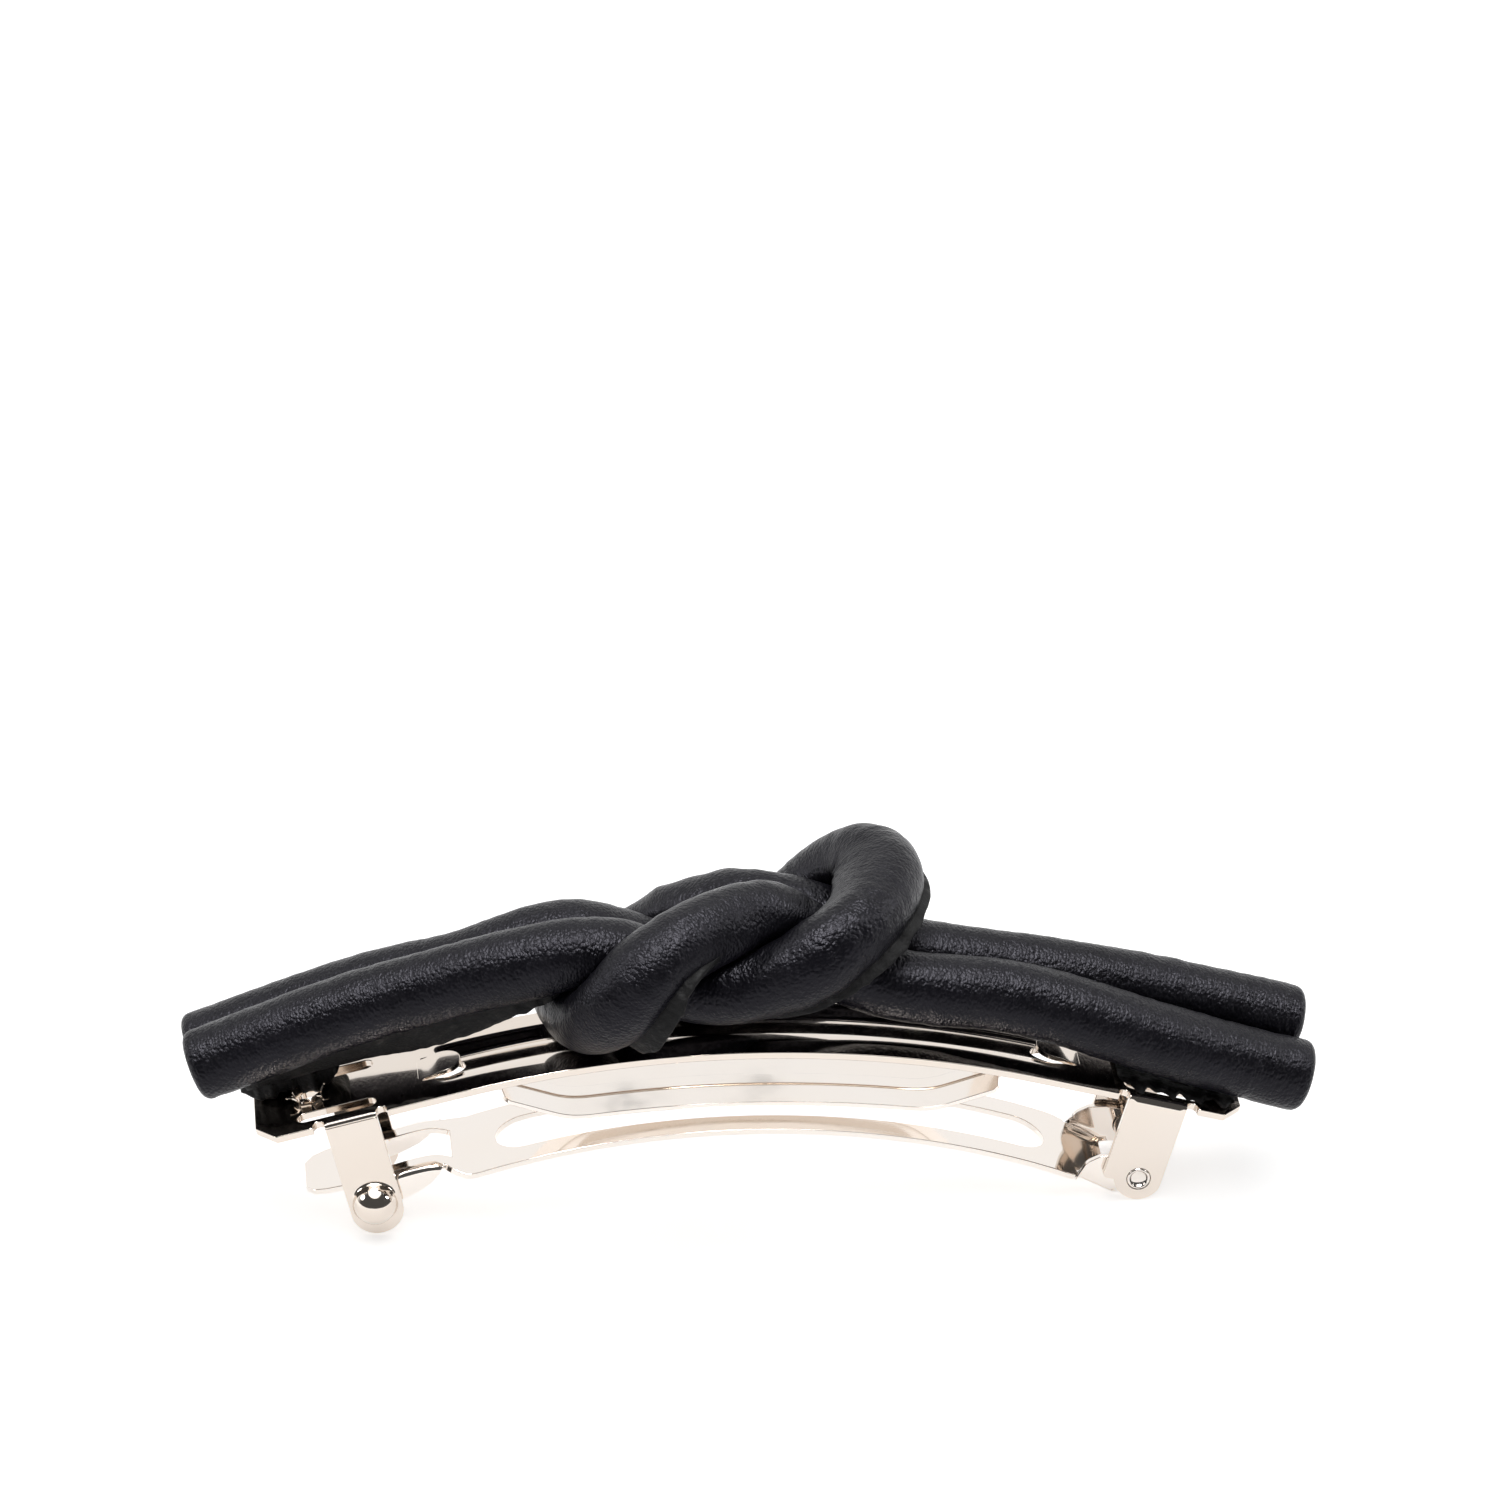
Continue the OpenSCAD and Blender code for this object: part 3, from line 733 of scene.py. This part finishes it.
ARM_PATH = SideView(
    [[-35, -13.1], [-32, -12.2], [-28.8, -11.3], [-26.6, -10.6], [-25, -10.25], [-23.8, -10.5]]
    + arc_path(ARM_R, ARM_HALF, -ARM_DROP)
    + [[24.6, ARM_Z - 0.75], [26.5, ARM_Z - 1.65], [28.9, ARM_Z - 2.9]])


def arm_place(p):
    s, y = p[..., 0], p[..., 1]
    at_catch = s < ARM_PATH.s_at(CATCH_FOLD_X)
    at_lug = s > ARM_PATH.s_at(LUG_FOLD_X)
    catch_y, catch_drop = folded(y, CATCH_Y - ARM_T, ARM_T)
    lug_y, lug_rise = folded(y, LUG_BEND_Y, LUG_BEND_R)
    turned_y = np.where(at_catch, catch_y, np.where(at_lug, lug_y, y))
    return ARM_PATH.point(s, turned_y, np.where(at_catch, catch_drop, np.where(at_lug, -lug_rise, 0)))


def on_arm(points):
    return [(float(ARM_PATH.s_at(x)), y) for x, y in points]


def flap_on_arm(points, bend_y, bend_r, way):
    """Outline points of a flap from side view positions in X and Z; way is 1 for down, -1 for up."""
    found = []
    for x, z in points:
        s, depth = ARM_PATH.flat(x, z)
        found.append((float(s), float(pattern_y(way * depth, bend_y, bend_r))))
    return found


def clasp_arm():
    tip = on_arm([(-35.2, 1.8), (-34.6, 2.6), (-33.6, 2.95), (-32.6, 3.1), (-32.15, 3.2)])
    wing = flap_on_arm([(-31.9, -13.6), (-31.3, -14.05), (-30.4, -14.2), (-29.4, -14.05), (-28.4, -13.7),
                        (-27.2, -13.2), (-26, -12.5), (-25.2, -11.8), (-24.75, -11.2)],
                       CATCH_Y - ARM_T, ARM_T, 1)
    waist = on_arm([(-24.3, 3.3), (-23.6, 3.9), (-22.6, 4.4), (-21.6, ARM_Y)])
    shoulder = on_arm([(25.2, ARM_Y), (26.0, 4.3), (26.3, 3.75)])
    round_end = [(PIN[0] + LUG_REACH * math.cos(a), PIN[2] + LUG_REACH * math.sin(a))
                 for a in np.radians(np.linspace(110, -75, 20))]
    lug = flap_on_arm([(26.5, ARM_Z - 0.9), (27.1, -11.2), (28, -10.75), (29.4, PIN[2] + 1.75)] + round_end,
                      LUG_BEND_Y, LUG_BEND_R, -1)
    end = on_arm([(28.95, 3.3), (28.85, 2.9)])
    edge = tip + wing + waist + shoulder + lug + end
    outer = both_sides(edge)
    window = on_arm(stadium(WINDOW_X, 0, WINDOW_LENGTH, WINDOW_W))
    catch = on_arm(CATCH_HOLE)
    pin_s, pin_depth = ARM_PATH.flat(PIN[0], PIN[2])
    pin_y = pattern_y(-pin_depth, LUG_BEND_Y, LUG_BEND_R)
    bores = [arc(pin_s, side * pin_y, LUG_BORE_R, 0, 345, 26) for side in (-1, 1)]
    sheet = bent_sheet(outer, [window, catch] + bores, surface_of(arm_place), ARM_T, step=0.6)
    parts = [sheet]
    line, normal = arch(np.array([-TAB_S]))
    for side in (-1, 1):
        centre = line[0] - normal[0] * DOME_DROP + np.array([0, side * CATCH_Y, 0])
        out = np.array([0, float(side), 0])
        parts.append(lathe(rounded_profile(PIP_PROFILE), centre, out, normal[0], 32))
    points, faces, normals = joined(parts)
    add_piece("nickel_clasp_arm", points, faces, NICKEL_ARM, "arm", ["clasp_arm"], normals)


BAR_R = 103
BAR_DROP = 5.3
BAR_HALF = 14
BAR_END = 22.3
BAR_T = 0.35
BAR_Y = 3.7
BAR_DISH = 0.14
RIB_Y, RIB_FLANK, RIB_RISE = 0.95, 0.25, 0.12
BAR_SLOPE = math.radians(17.5)
BAR_ARC = math.asin(BAR_HALF / BAR_R)
BAR_KNEE = -BAR_DROP + BAR_R * (math.cos(BAR_ARC) - 1)
BAR_TIP = BAR_KNEE + (BAR_END - BAR_HALF) * math.tan(BAR_SLOPE)
PAST_KNEE_X, PAST_KNEE_Z = BAR_HALF + 0.8, BAR_KNEE + 0.15
BAR_PATH = SideView([[-BAR_END, BAR_TIP], [-PAST_KNEE_X, PAST_KNEE_Z]]
                    + arc_path(BAR_R, BAR_ARC - math.radians(0.4), -BAR_DROP)
                    + [[PAST_KNEE_X, PAST_KNEE_Z], [BAR_END, BAR_TIP]], 0.6)


def bar_place(p):
    """A pressed rib along the bar's middle, and a slight dish across its width."""
    y = p[..., 1]
    rise = RIB_RISE * smoothstep((RIB_Y - np.abs(y)) / RIB_FLANK) + BAR_DISH * (y / BAR_Y) ** 2
    return BAR_PATH.point(p[..., 0], y, -rise)


def tension_bar():
    end = [(BAR_END, 0.9), (22.0, 1.2), (20.2, 1.2), (19.8, 1.6), (19.6, 3.2), (19.2, BAR_Y)]
    edge = [(-x, y) for x, y in end] + end[::-1]
    outer = both_sides([(float(BAR_PATH.s_at(x)), y) for x, y in edge])
    rib_rows = np.concatenate([side * np.linspace(0.55, 1.05, 6) for side in (-1, 1)])
    points, faces, normals = bent_sheet(outer, [], surface_of(bar_place), BAR_T, rows=rib_rows, edge=0.05)
    add_piece("steel_tension_bar", points, faces, SPRING, "bar", ["tension_bar"], normals)


def hinge_pin():
    """A short pin with rolled, slightly dished ends that stand just proud of the ears."""
    proud = 0.02
    half = EDGE_Y + proud
    end = [(0, -0.3), (0.3, -0.3), (0.55, -0.26), (0.66, -0.16), (0.7, -0.03), (0.78, 0.03),
           (0.87, 0.02), (0.93, -0.05), (0.95, -0.15)]
    profile = [(r, -half - h) for r, h in end] + [(r, half + h) for r, h in end[::-1]]
    points, faces, normals = lathe(profile, np.array([PIN[0], 0, PIN[2]]), np.array([0, 1.0, 0]),
                                   np.array([0, 0, 1.0]), 40)
    add_piece("steel_hinge_pin", points, faces, PIN_STEEL, "root", ["hinge_pin"], normals)


# ---- Leather cords ---------------------------------------------------------------------------

LEFT_ROUTE = [
    [-44, -1, -2.4], [-39, -1, -0.4], [-34, -1, 1.7], [-29, -1, 3.4], [-24, -1.4, 5], [-19, -2, 6.7],
    [-14.5, -2.2, 7.8], [-11, -2.2, 7.5], [-7.5, -2.2, 6], [-4.5, -3, 4.9], [-1, -4.4, 5.4], [2, -5.4, 7],
    [5, -5.3, 9], [8.2, -2.8, 10.2], [10.3, 1, 10.6], [11, 4.6, 10.6], [10, 8, 10], [7.6, 10, 7.9],
    [5, 10.1, 5.2], [2, 8.4, 3.3], [-1.5, 5.6, 2.8], [-5, 3.6, 3.3], [-8.5, 3, 4.9], [-12, 3.1, 6.6],
    [-15.5, 3.1, 7], [-19, 3.3, 5.5], [-24, 3.9, 3.2], [-29, 4.5, 1.5], [-34, 4.6, -0.3],
    [-39, 4.6, -2.1], [-44, 4.6, -4.1]]
RIGHT_ROUTE = [
    [44.4, -2, -5], [39.5, -2, -3.5], [34.5, -2.2, -1.8], [29.5, -2.2, 0], [24.5, -1.8, 1.6],
    [19.5, -1.4, 2.8], [14.5, -1.2, 3.3], [10.5, -1, 4], [7, -0.5, 5.4], [4, -0.2, 7.6], [1, -0.6, 9.9],
    [-2.5, -2.4, 10.4], [-6, -5, 10.2], [-9, -6.9, 8.9], [-11, -7.3, 6.2], [-12.3, -5.8, 3.8],
    [-13.4, -2.8, 2.4], [-14.4, 1, 1.7], [-14.2, 4.5, 1.6], [-12.4, 7, 1.9], [-9.5, 8.3, 3.1],
    [-6.8, 8.6, 5], [-4.5, 7.9, 7], [-1.5, 6.4, 8.2], [1.5, 5.4, 8.3], [4.5, 5.1, 7.6], [7.5, 4.9, 6.1],
    [10.5, 4.6, 4.5], [14.5, 4.2, 3.2], [19.5, 4, 2.4], [24.5, 3.9, 1.7], [29.5, 3.8, 0.6],
    [34.5, 3.8, -0.6], [39.5, 3.7, -1.9], [44.4, 3.7, -3.3]]

CORD_R = 2.9
RING_STEP = 0.16
SIDES = 96
END_ROUND = 0.75
CONTACT_GAP = 0.03
PER_SPAN = 40
LINE_EASING, BEND_EASING = 0.9, 1.2
SAME_CORD_REACH = 9
NO_LIMIT = 99.0

# How far the cord's skin reaches on the inner and outer side of a bend, by place on the route.
LEFT_SWELL = [
    (0, 1, 1), (7, 1, 1), (9, 1.15, 0.9), (11, 1.4, 0.84), (13, 1.55, 1), (15, 1.6, 1), (17, 1.3, 1),
    (19, 1, 1), (20, 1, 0.88), (26, 1, 0.88), (28, 1, 1), (30, 1, 1)]
RIGHT_SWELL = [
    (0, 0.95, 0.95), (6, 0.95, 0.95), (8, 1, 1), (10, 1.3, 1), (12, 1.5, 0.92), (14, 1.45, 0.85),
    (16, 1, 0.9), (18, 1, 0.9), (20, 1.1, 0.82), (24, 1.1, 0.82), (27, 1, 0.95), (34, 0.95, 0.95)]
# How the soft strand behind the knot settles away from its route, by place on the route, in mm.
LEFT_SLUMP = [(21, (0, 0, 0)), (23, (0, 0, -0.4)), (24, (0, 0, -0.8)), (25, (0, 0, -0.4)), (27, (0, 0, 0))]
RIGHT_SLUMP = [(17, (0, 0, 0)), (19, (0.9, -0.3, 0)), (21, (1.2, -0.7, -0.7)), (23, (0.5, -0.7, -1)),
               (25, (0, -0.4, -0.7)), (28, (0, 0, 0))]


class Cord:
    """A soft round cord along a route: its centreline, ring frames and ring radii."""

    def __init__(self, route, swell, slump):
        curve = rounded_profile(route, PER_SPAN)
        steps = lengths(curve)
        self.route_s = steps[::PER_SPAN]
        start, end = END_ROUND, steps[-1] - END_ROUND
        count = int((end - start) / RING_STEP)
        self.s = np.linspace(start, end, count)
        at = self.places(swell)
        self.inner, self.outer = (self.along(at, [k[i] for k in swell])[:, None] for i in (1, 2))
        line = np.stack([np.interp(self.s, steps, curve[:, i]) for i in range(3)], 1)
        at = self.places(slump)
        line = line + np.stack([self.along(at, [k[1][i] for k in slump]) for i in range(3)], 1)
        self.line = eased(line, LINE_EASING)
        self.tangent = unit(np.gradient(self.line, axis=0))
        bend = np.gradient(self.tangent, axis=0) / RING_STEP
        self.bend = eased(bend, BEND_EASING)
        up = np.zeros_like(self.line)
        last = np.array([0, 0, 1.0])
        for i, t in enumerate(self.tangent):
            last = last - t * (last @ t)
            last /= np.linalg.norm(last)
            up[i] = last
        side = np.cross(self.tangent, up)
        a = np.linspace(0, 2 * math.pi, SIDES, endpoint=False)
        self.spokes = np.cos(a)[None, :, None] * up[:, None] + np.sin(a)[None, :, None] * side[:, None]

    def places(self, keys):
        """Distance along the cord of each key, whose first entry is its place on the route."""
        return np.interp([k[0] for k in keys], np.arange(len(self.route_s)), self.route_s)

    def along(self, at, values):
        """Values given at those distances, for each ring of the cord."""
        return np.interp(self.s, at, values)

    def free_radius(self):
        """Ring radii before anything presses: a cord spreads where it bends, and fills out inside."""
        tightness = np.linalg.norm(self.bend, axis=1)
        centre_way = unit(self.bend)
        inward = np.einsum("nkj,nj->nk", self.spokes, centre_way)
        bent = smoothstep(tightness * CORD_R / 0.3)[:, None]
        most_spread, from_bend, over_bend = 0.22, 0.25, 0.6
        spread = most_spread * smoothstep((tightness * CORD_R - from_bend) / over_bend)[:, None]
        wide = CORD_R * (1 + spread)
        thin = CORD_R * np.where(inward > 0, 1 + (self.inner - 1) * bent, 1 + (self.outer - 1) * bent)
        return 1 / np.sqrt((inward / thin) ** 2 + (1 - inward ** 2) / wide ** 2)

    def limit(self, other):
        """How far each spoke may reach before it meets the cord with that centreline halfway."""
        same = other is self
        found = np.full(self.spokes.shape[:2], NO_LIMIT)
        q, q_s = other.line[::3], other.s[::3]
        chunk = 60
        for i in range(0, len(self.line), chunk):
            e = q[None] - self.line[i: i + chunk, None]
            ee = np.sum(e * e, 2)
            if same:
                near = np.abs(self.s[i: i + chunk, None] - q_s[None]) < SAME_CORD_REACH
                ee = np.where(near, 1e6, ee)
            de = np.einsum("nkj,nmj->nkm", self.spokes[i: i + chunk], e)
            reach = (ee[:, None] - CONTACT_GAP ** 2) / (2 * np.maximum(CONTACT_GAP + de, 1e-3))
            found[i: i + chunk] = reach.min(2)
        return found

    def plate_limit(self):
        """How far each spoke may reach before it meets the plate's top."""
        line, normal = arch(self.line[:, 0])
        height = np.einsum("nj,nj->n", self.line - line, normal)
        down = -np.einsum("nkj,nj->nk", self.spokes, normal)
        least_down, gap, over_y = 0.05, 0.05, 6.5
        over = (np.abs(self.line[:, 1]) < over_y)[:, None] & (down > least_down)
        return np.where(over, (height[:, None] - gap) / np.maximum(down, least_down), NO_LIMIT)

    def press(self, others):
        """Ring radii once the cords lie against each other, keeping each ring's area."""
        limit = np.minimum.reduce([self.limit(o) for o in others] + [self.plate_limit()])
        free = self.free_radius()
        blend, most_growth = 0.5, 1.07
        area = math.pi * CORD_R ** 2 * 0.98
        radius = soft_min(free, limit, blend)
        for _ in range(3):
            now = 0.5 * np.sum(radius ** 2, 1) * 2 * math.pi / SIDES
            free = free * np.clip(np.sqrt(area / now), 1, most_growth)[:, None]
            radius = soft_min(free, limit, blend)
        self.radius = radius

    def wrinkle(self, rng):
        """Gathers on the inside of each bend, slack unevenness, and a fine cross grain."""
        inward = np.einsum("nkj,nj->nk", self.spokes, self.bend) * CORD_R
        shape = self.radius.shape
        gathers = field(rng, shape, along=0.26, around=1.3)
        slack = field(rng, shape, along=2.2, around=1.6)
        cross = field(rng, shape, along=0.3, around=0.55)
        creased = smoothstep((inward - 0.12) / 0.5)
        gather_height = 0.012 + 0.075 * creased
        self.radius = self.radius + gathers * gather_height + slack * 0.045 + cross * 0.012

    def points(self):
        return self.line[:, None] + self.spokes * self.radius[..., None]


def eased(values, width):
    """Values along the cord, smoothed over that many mm, with the ends held."""
    pad = int(3 * width / RING_STEP)
    kernel = np.exp(-0.5 * (np.arange(-pad, pad + 1) * RING_STEP / width) ** 2)
    kernel /= kernel.sum()
    head = 2 * values[0] - values[pad:0:-1]
    tail = 2 * values[-1] - values[-2:-pad - 2:-1]
    whole = np.vstack([head, values, tail])
    return np.stack([np.convolve(whole[:, i], kernel, "valid") for i in range(values.shape[1])], 1)


def soft_min(a, b, k):
    h = np.clip(0.5 + 0.5 * (b - a) / k, 0, 1)
    return b * (1 - h) + a * h - k * h * (1 - h)


def field(rng, shape, along, around):
    """Smooth random heights over a cord's skin, of unit spread, with those sizes in mm."""
    noise = rng.standard_normal(shape)
    fs = np.fft.fftfreq(shape[0], RING_STEP)[:, None]
    fa = np.fft.fftfreq(shape[1], 2 * math.pi * CORD_R / SIDES)[None]
    kernel = np.exp(-2 * math.pi ** 2 * ((fs * along) ** 2 + (fa * around) ** 2))
    smooth = np.real(np.fft.ifft2(np.fft.fft2(noise) * kernel))
    return (smooth - smooth.mean()) / smooth.std()


def end_rings(cord, first):
    """Rings that round a cord's end over into its closed face."""
    i = 0 if first else -1
    out = -cord.tangent[0] if first else cord.tangent[-1]
    centre, spokes, radius = cord.line[i], cord.spokes[i], cord.radius[i][:, None]
    rings = []
    for angle in np.radians([18, 36, 54, 72, 90]):
        shrink = END_ROUND * (1 - math.cos(angle))
        rings.append(centre + spokes * (radius - shrink) + out * END_ROUND * math.sin(angle))
    bulge, pucker, puckers = 0.14, 0.048, 7
    wave = np.cos(np.arange(SIDES) * 2 * math.pi / SIDES * puckers)[:, None]
    for share in (0.86, 0.7, 0.5, 0.3, 0.12):
        reach = END_ROUND + (bulge - pucker * wave) * (1 - share)
        rings.append(centre + spokes * (radius - END_ROUND) * share + out * reach)
    return rings


def leather_cord(name, cord, replaced):
    rings = end_rings(cord, True)[::-1] + list(cord.points()) + end_rings(cord, False)
    points = np.array(rings)
    n = len(rings)
    middle = [points[0].mean(0), points[-1].mean(0)]
    run = lengths(points[:, 0]) * MM
    wide = 2 * math.pi * CORD_R / SIDES * MM
    i, k = np.meshgrid(np.arange(n - 1), np.arange(SIDES), indexing="ij")
    u = np.stack([run[i], run[i], run[i + 1], run[i + 1]], -1)
    v = np.stack([k, k + 1, k + 1, k], -1) * wide
    uv = np.stack([u, v], -1).reshape(-1, 2).tolist()
    faces = bands(n, SIDES)
    ends = n * SIDES
    for k in range(SIDES):
        faces.append((ends, (k + 1) % SIDES, k))
        faces.append((ends + 1, (n - 1) * SIDES + k, (n - 1) * SIDES + (k + 1) % SIDES))
        uv += [(0, k * wide), (run[1], (k + 1) * wide), (run[1], k * wide)]
        uv += [(run[-1], k * wide), (run[-2], k * wide), (run[-2], (k + 1) * wide)]
    whole = np.vstack([points.reshape(-1, 3), middle])
    return add_piece(name, whole, faces, LEATHER, "root", replaced, uv=uv)


def seam_edge(name, cord, keys, rng):
    """The raw double edge of the sewn sleeve, standing out of the cord.

    keys are (place on the route, direction it faces, height in mm, thickness in mm).
    """
    at = cord.places(keys)
    way = np.stack([cord.along(at, [k[1][i] for k in keys]) for i in range(3)], 1)
    height = cord.along(at, [k[2] for k in keys])
    thick = cord.along(at, [k[3] for k in keys])
    use = (cord.s >= at[0]) & (cord.s <= at[-1])
    way = unit(way - cord.tangent * np.sum(way * cord.tangent, 1, keepdims=True))
    across = np.cross(cord.tangent, way)
    spoke = np.argmax(np.einsum("nkj,nj->nk", cord.spokes, way), 1)
    radius = cord.radius[np.arange(len(spoke)), spoke]
    radius = eased(radius[:, None], 0.5)[:, 0]
    root_depth, torn_height, uneven = 0.8, 0.08, 0.07
    spare = 16
    ragged = field(rng, (len(cord.s), spare), along=0.28, around=1.0)
    profile = np.array([(-0.75, -1), (-0.2, -1), (0.3, -0.9), (0.7, -0.85), (0.94, -0.75), (1.0, -0.3),
                        (1.0, 0.3), (0.94, 0.75), (0.7, 0.85), (0.3, 0.9), (-0.2, 1), (-0.75, 1)])
    count = len(profile)
    rise = np.where(profile[:, 0] > 0, profile[:, 0], 0)[None] * height[:, None]
    rise = rise + np.where(profile[:, 0] < 0, profile[:, 0], 0)[None] * root_depth
    torn = (profile[:, 0] > 0.5)[None] * np.minimum(height, 1)[:, None]
    rise = rise + ragged[:, :count] * torn_height * torn
    side = profile[:, 1][None] * thick[:, None] / 2 + ragged[:, spare - count:][:, ::-1] * uneven
    points = cord.line[:, None] + way[:, None] * (radius[:, None] + rise)[..., None]
    points = (points + across[:, None] * side[..., None])[use]
    faces = closed_tube(len(points), count)
    return add_piece(name, points.reshape(-1, 3), faces, ROUGH, "root")


def glue_bed(name, side, start, end, y0, y1, low_rise, high_rise, node, rng):
    """A ragged bed of glue and raw leather between the plate's end and a pair of cords.

    It runs from start to end along the plate and from y0 to y1 across it, and its height goes
    from low_rise to high_rise.
    """
    rings, count = 60, 44
    squareness, lumpiness, end_slope = 0.45, 0.09, 6
    along = np.linspace(start, end, rings)
    a = np.linspace(0, 2 * math.pi, count, endpoint=False)
    box_c = np.sign(np.cos(a)) * np.abs(np.cos(a)) ** squareness
    box_s = np.sign(np.sin(a)) * np.abs(np.sin(a)) ** squareness
    rough = field(rng, (rings, count), along=0.22, around=0.5)
    from_ends = np.minimum((along - start) / (end - start), (end - along) / (end - start))
    fade = np.sqrt(np.clip(from_ends * end_slope, 0.02, 1))
    rise = np.linspace(low_rise, high_rise, rings)
    half_h = rise / 2 * fade
    half_w = (y1 - y0) / 2 * (0.75 + 0.25 * fade)
    grow = 1 + rough * lumpiness
    y = (y0 + y1) / 2 + half_w[:, None] * box_c * grow
    up = rise[:, None] / 2 + half_h[:, None] * box_s * grow
    line, normal = arch(side * along)
    points = line[:, None] + normal[:, None] * np.maximum(up, 0.02)[..., None]
    points = points + y[..., None] * np.array([0, 1.0, 0])
    faces = closed_tube(rings, count)
    if side > 0:
        faces = [f[::-1] for f in faces]
    return add_piece(name, points.reshape(-1, 3), faces, ROUGH, "root", [node])


def leather_knot():
    rng = np.random.default_rng(SEED)
    left = Cord(LEFT_ROUTE, LEFT_SWELL, LEFT_SLUMP)
    right = Cord(RIGHT_ROUTE, RIGHT_SWELL, RIGHT_SLUMP)
    for cord in (left, right):
        cord.press([left, right])
    for cord in (left, right):
        cord.wrinkle(rng)
    leather_cord("left_leather_cord", left, ["left_cord_sleeve", "left_cord_core"])
    leather_cord("right_leather_cord", right, ["right_cord_sleeve", "right_cord_core"])
    seam_edge("left_front_seam", left, [
        (0.5, (0, 0.4, -1), 1.6, 1.8), (2.2, (0, 0.25, -1), 2.2, 1.8), (3.6, (0, 0, -1), 2.2, 1.7),
        (5, (0, -0.1, -1), 1.0, 1.2), (6.5, (0, -0.2, -1), -0.3, 1)], rng)
    seam_edge("left_turn_seam", left, [
        (9.6, (0.5, -0.3, -0.9), -0.3, 0.9), (11.3, (0.6, -0.25, -0.75), 0.5, 0.9),
        (12.5, (0.75, -0.2, -0.6), 1, 1), (14.5, (0.95, -0.1, -0.4), 0.8, 1), (16, (1, 0.2, -0.2), 0.3, 0.9),
        (17.5, (1, 0.2, 0.1), -0.3, 0.9)], rng)
    seam_edge("right_turn_seam", right, [
        (11.4, (0.9, -0.4, -0.2), -0.3, 0.7), (12.4, (0.9, -0.42, -0.25), 0.7, 0.8),
        (13.2, (0.9, -0.42, -0.3), 1.3, 0.8), (14.2, (0.88, -0.4, -0.35), 1.7, 0.9),
        (15, (0.85, -0.3, -0.4), 1.2, 1), (16.2, (1, 0, 0), -0.3, 0.9)], rng)
    glue_bed("left_glue_bed", -1, 32.5, 40.7, 0.7, 4.8, 3.4, 2.6, "left_glue_pad", rng)
    glue_bed("right_glue_bed", 1, 29.6, 39.4, -3.75, 4.4, 0.75, 0.6, "right_glue_pad", rng)


# ---- Studio ---------------------------------------------------------------------------------


def studio():
    bpy.ops.mesh.primitive_plane_add(size=6)
    floor = bpy.context.object
    floor.name = "studio_floor"
    floor.data.materials.append(floor_material())
    world = bpy.data.worlds.new("studio")
    bpy.context.scene.world = world
    world.use_nodes = True
    nodes, links = world.node_tree.nodes, world.node_tree.links
    way = nodes.new("ShaderNodeTexCoord")
    split = nodes.new("ShaderNodeSeparateXYZ")
    ramp = nodes.new("ShaderNodeMapRange")
    ramp.interpolation_type = "SMOOTHSTEP"
    for name, value in (("From Min", -0.12), ("From Max", 0.48), ("To Min", 0.08), ("To Max", 1.05)):
        ramp.inputs[name].default_value = value
    links.new(way.outputs["Generated"], split.inputs[0])
    links.new(split.outputs["Y"], ramp.inputs["Value"])
    links.new(ramp.outputs["Result"], nodes["Background"].inputs["Strength"])
    nodes["Background"].inputs["Color"].default_value = (1, 1, 1, 1)
    for name, elevation, azimuth, strength, angle, shiny_only in (
            ("top_fill", 85, 0, 1.3, 60, False), ("key_strip", 80, -10, 4.6, 30, True),
            ("left_box", 29, -90, 1.1, 22, True), ("right_box", 29, 90, 1.1, 22, True)):
        sun = bpy.data.lights.new(name, "SUN")
        sun.energy = strength
        sun.angle = math.radians(angle)
        lamp = bpy.data.objects.new(name, sun)
        bpy.context.scene.collection.objects.link(lamp)
        lamp.visible_diffuse = not shiny_only
        e, a = math.radians(elevation), math.radians(azimuth)
        source = Vector((math.sin(a) * math.cos(e), -math.cos(a) * math.cos(e), math.sin(e)))
        lamp.rotation_euler = (-source).to_track_quat("-Z", "Y").to_euler()
    bpy.context.scene.view_settings.view_transform = "Standard"


make_camera()
studio()
leather_knot()
base_plate()
catch_tab(-1, "nickel_catch_tab_front", "catch_tab_front", "front_tab")
catch_tab(1, "nickel_catch_tab_back", "catch_tab_back", "back_tab")
clasp_arm()
tension_bar()
hinge_pin()
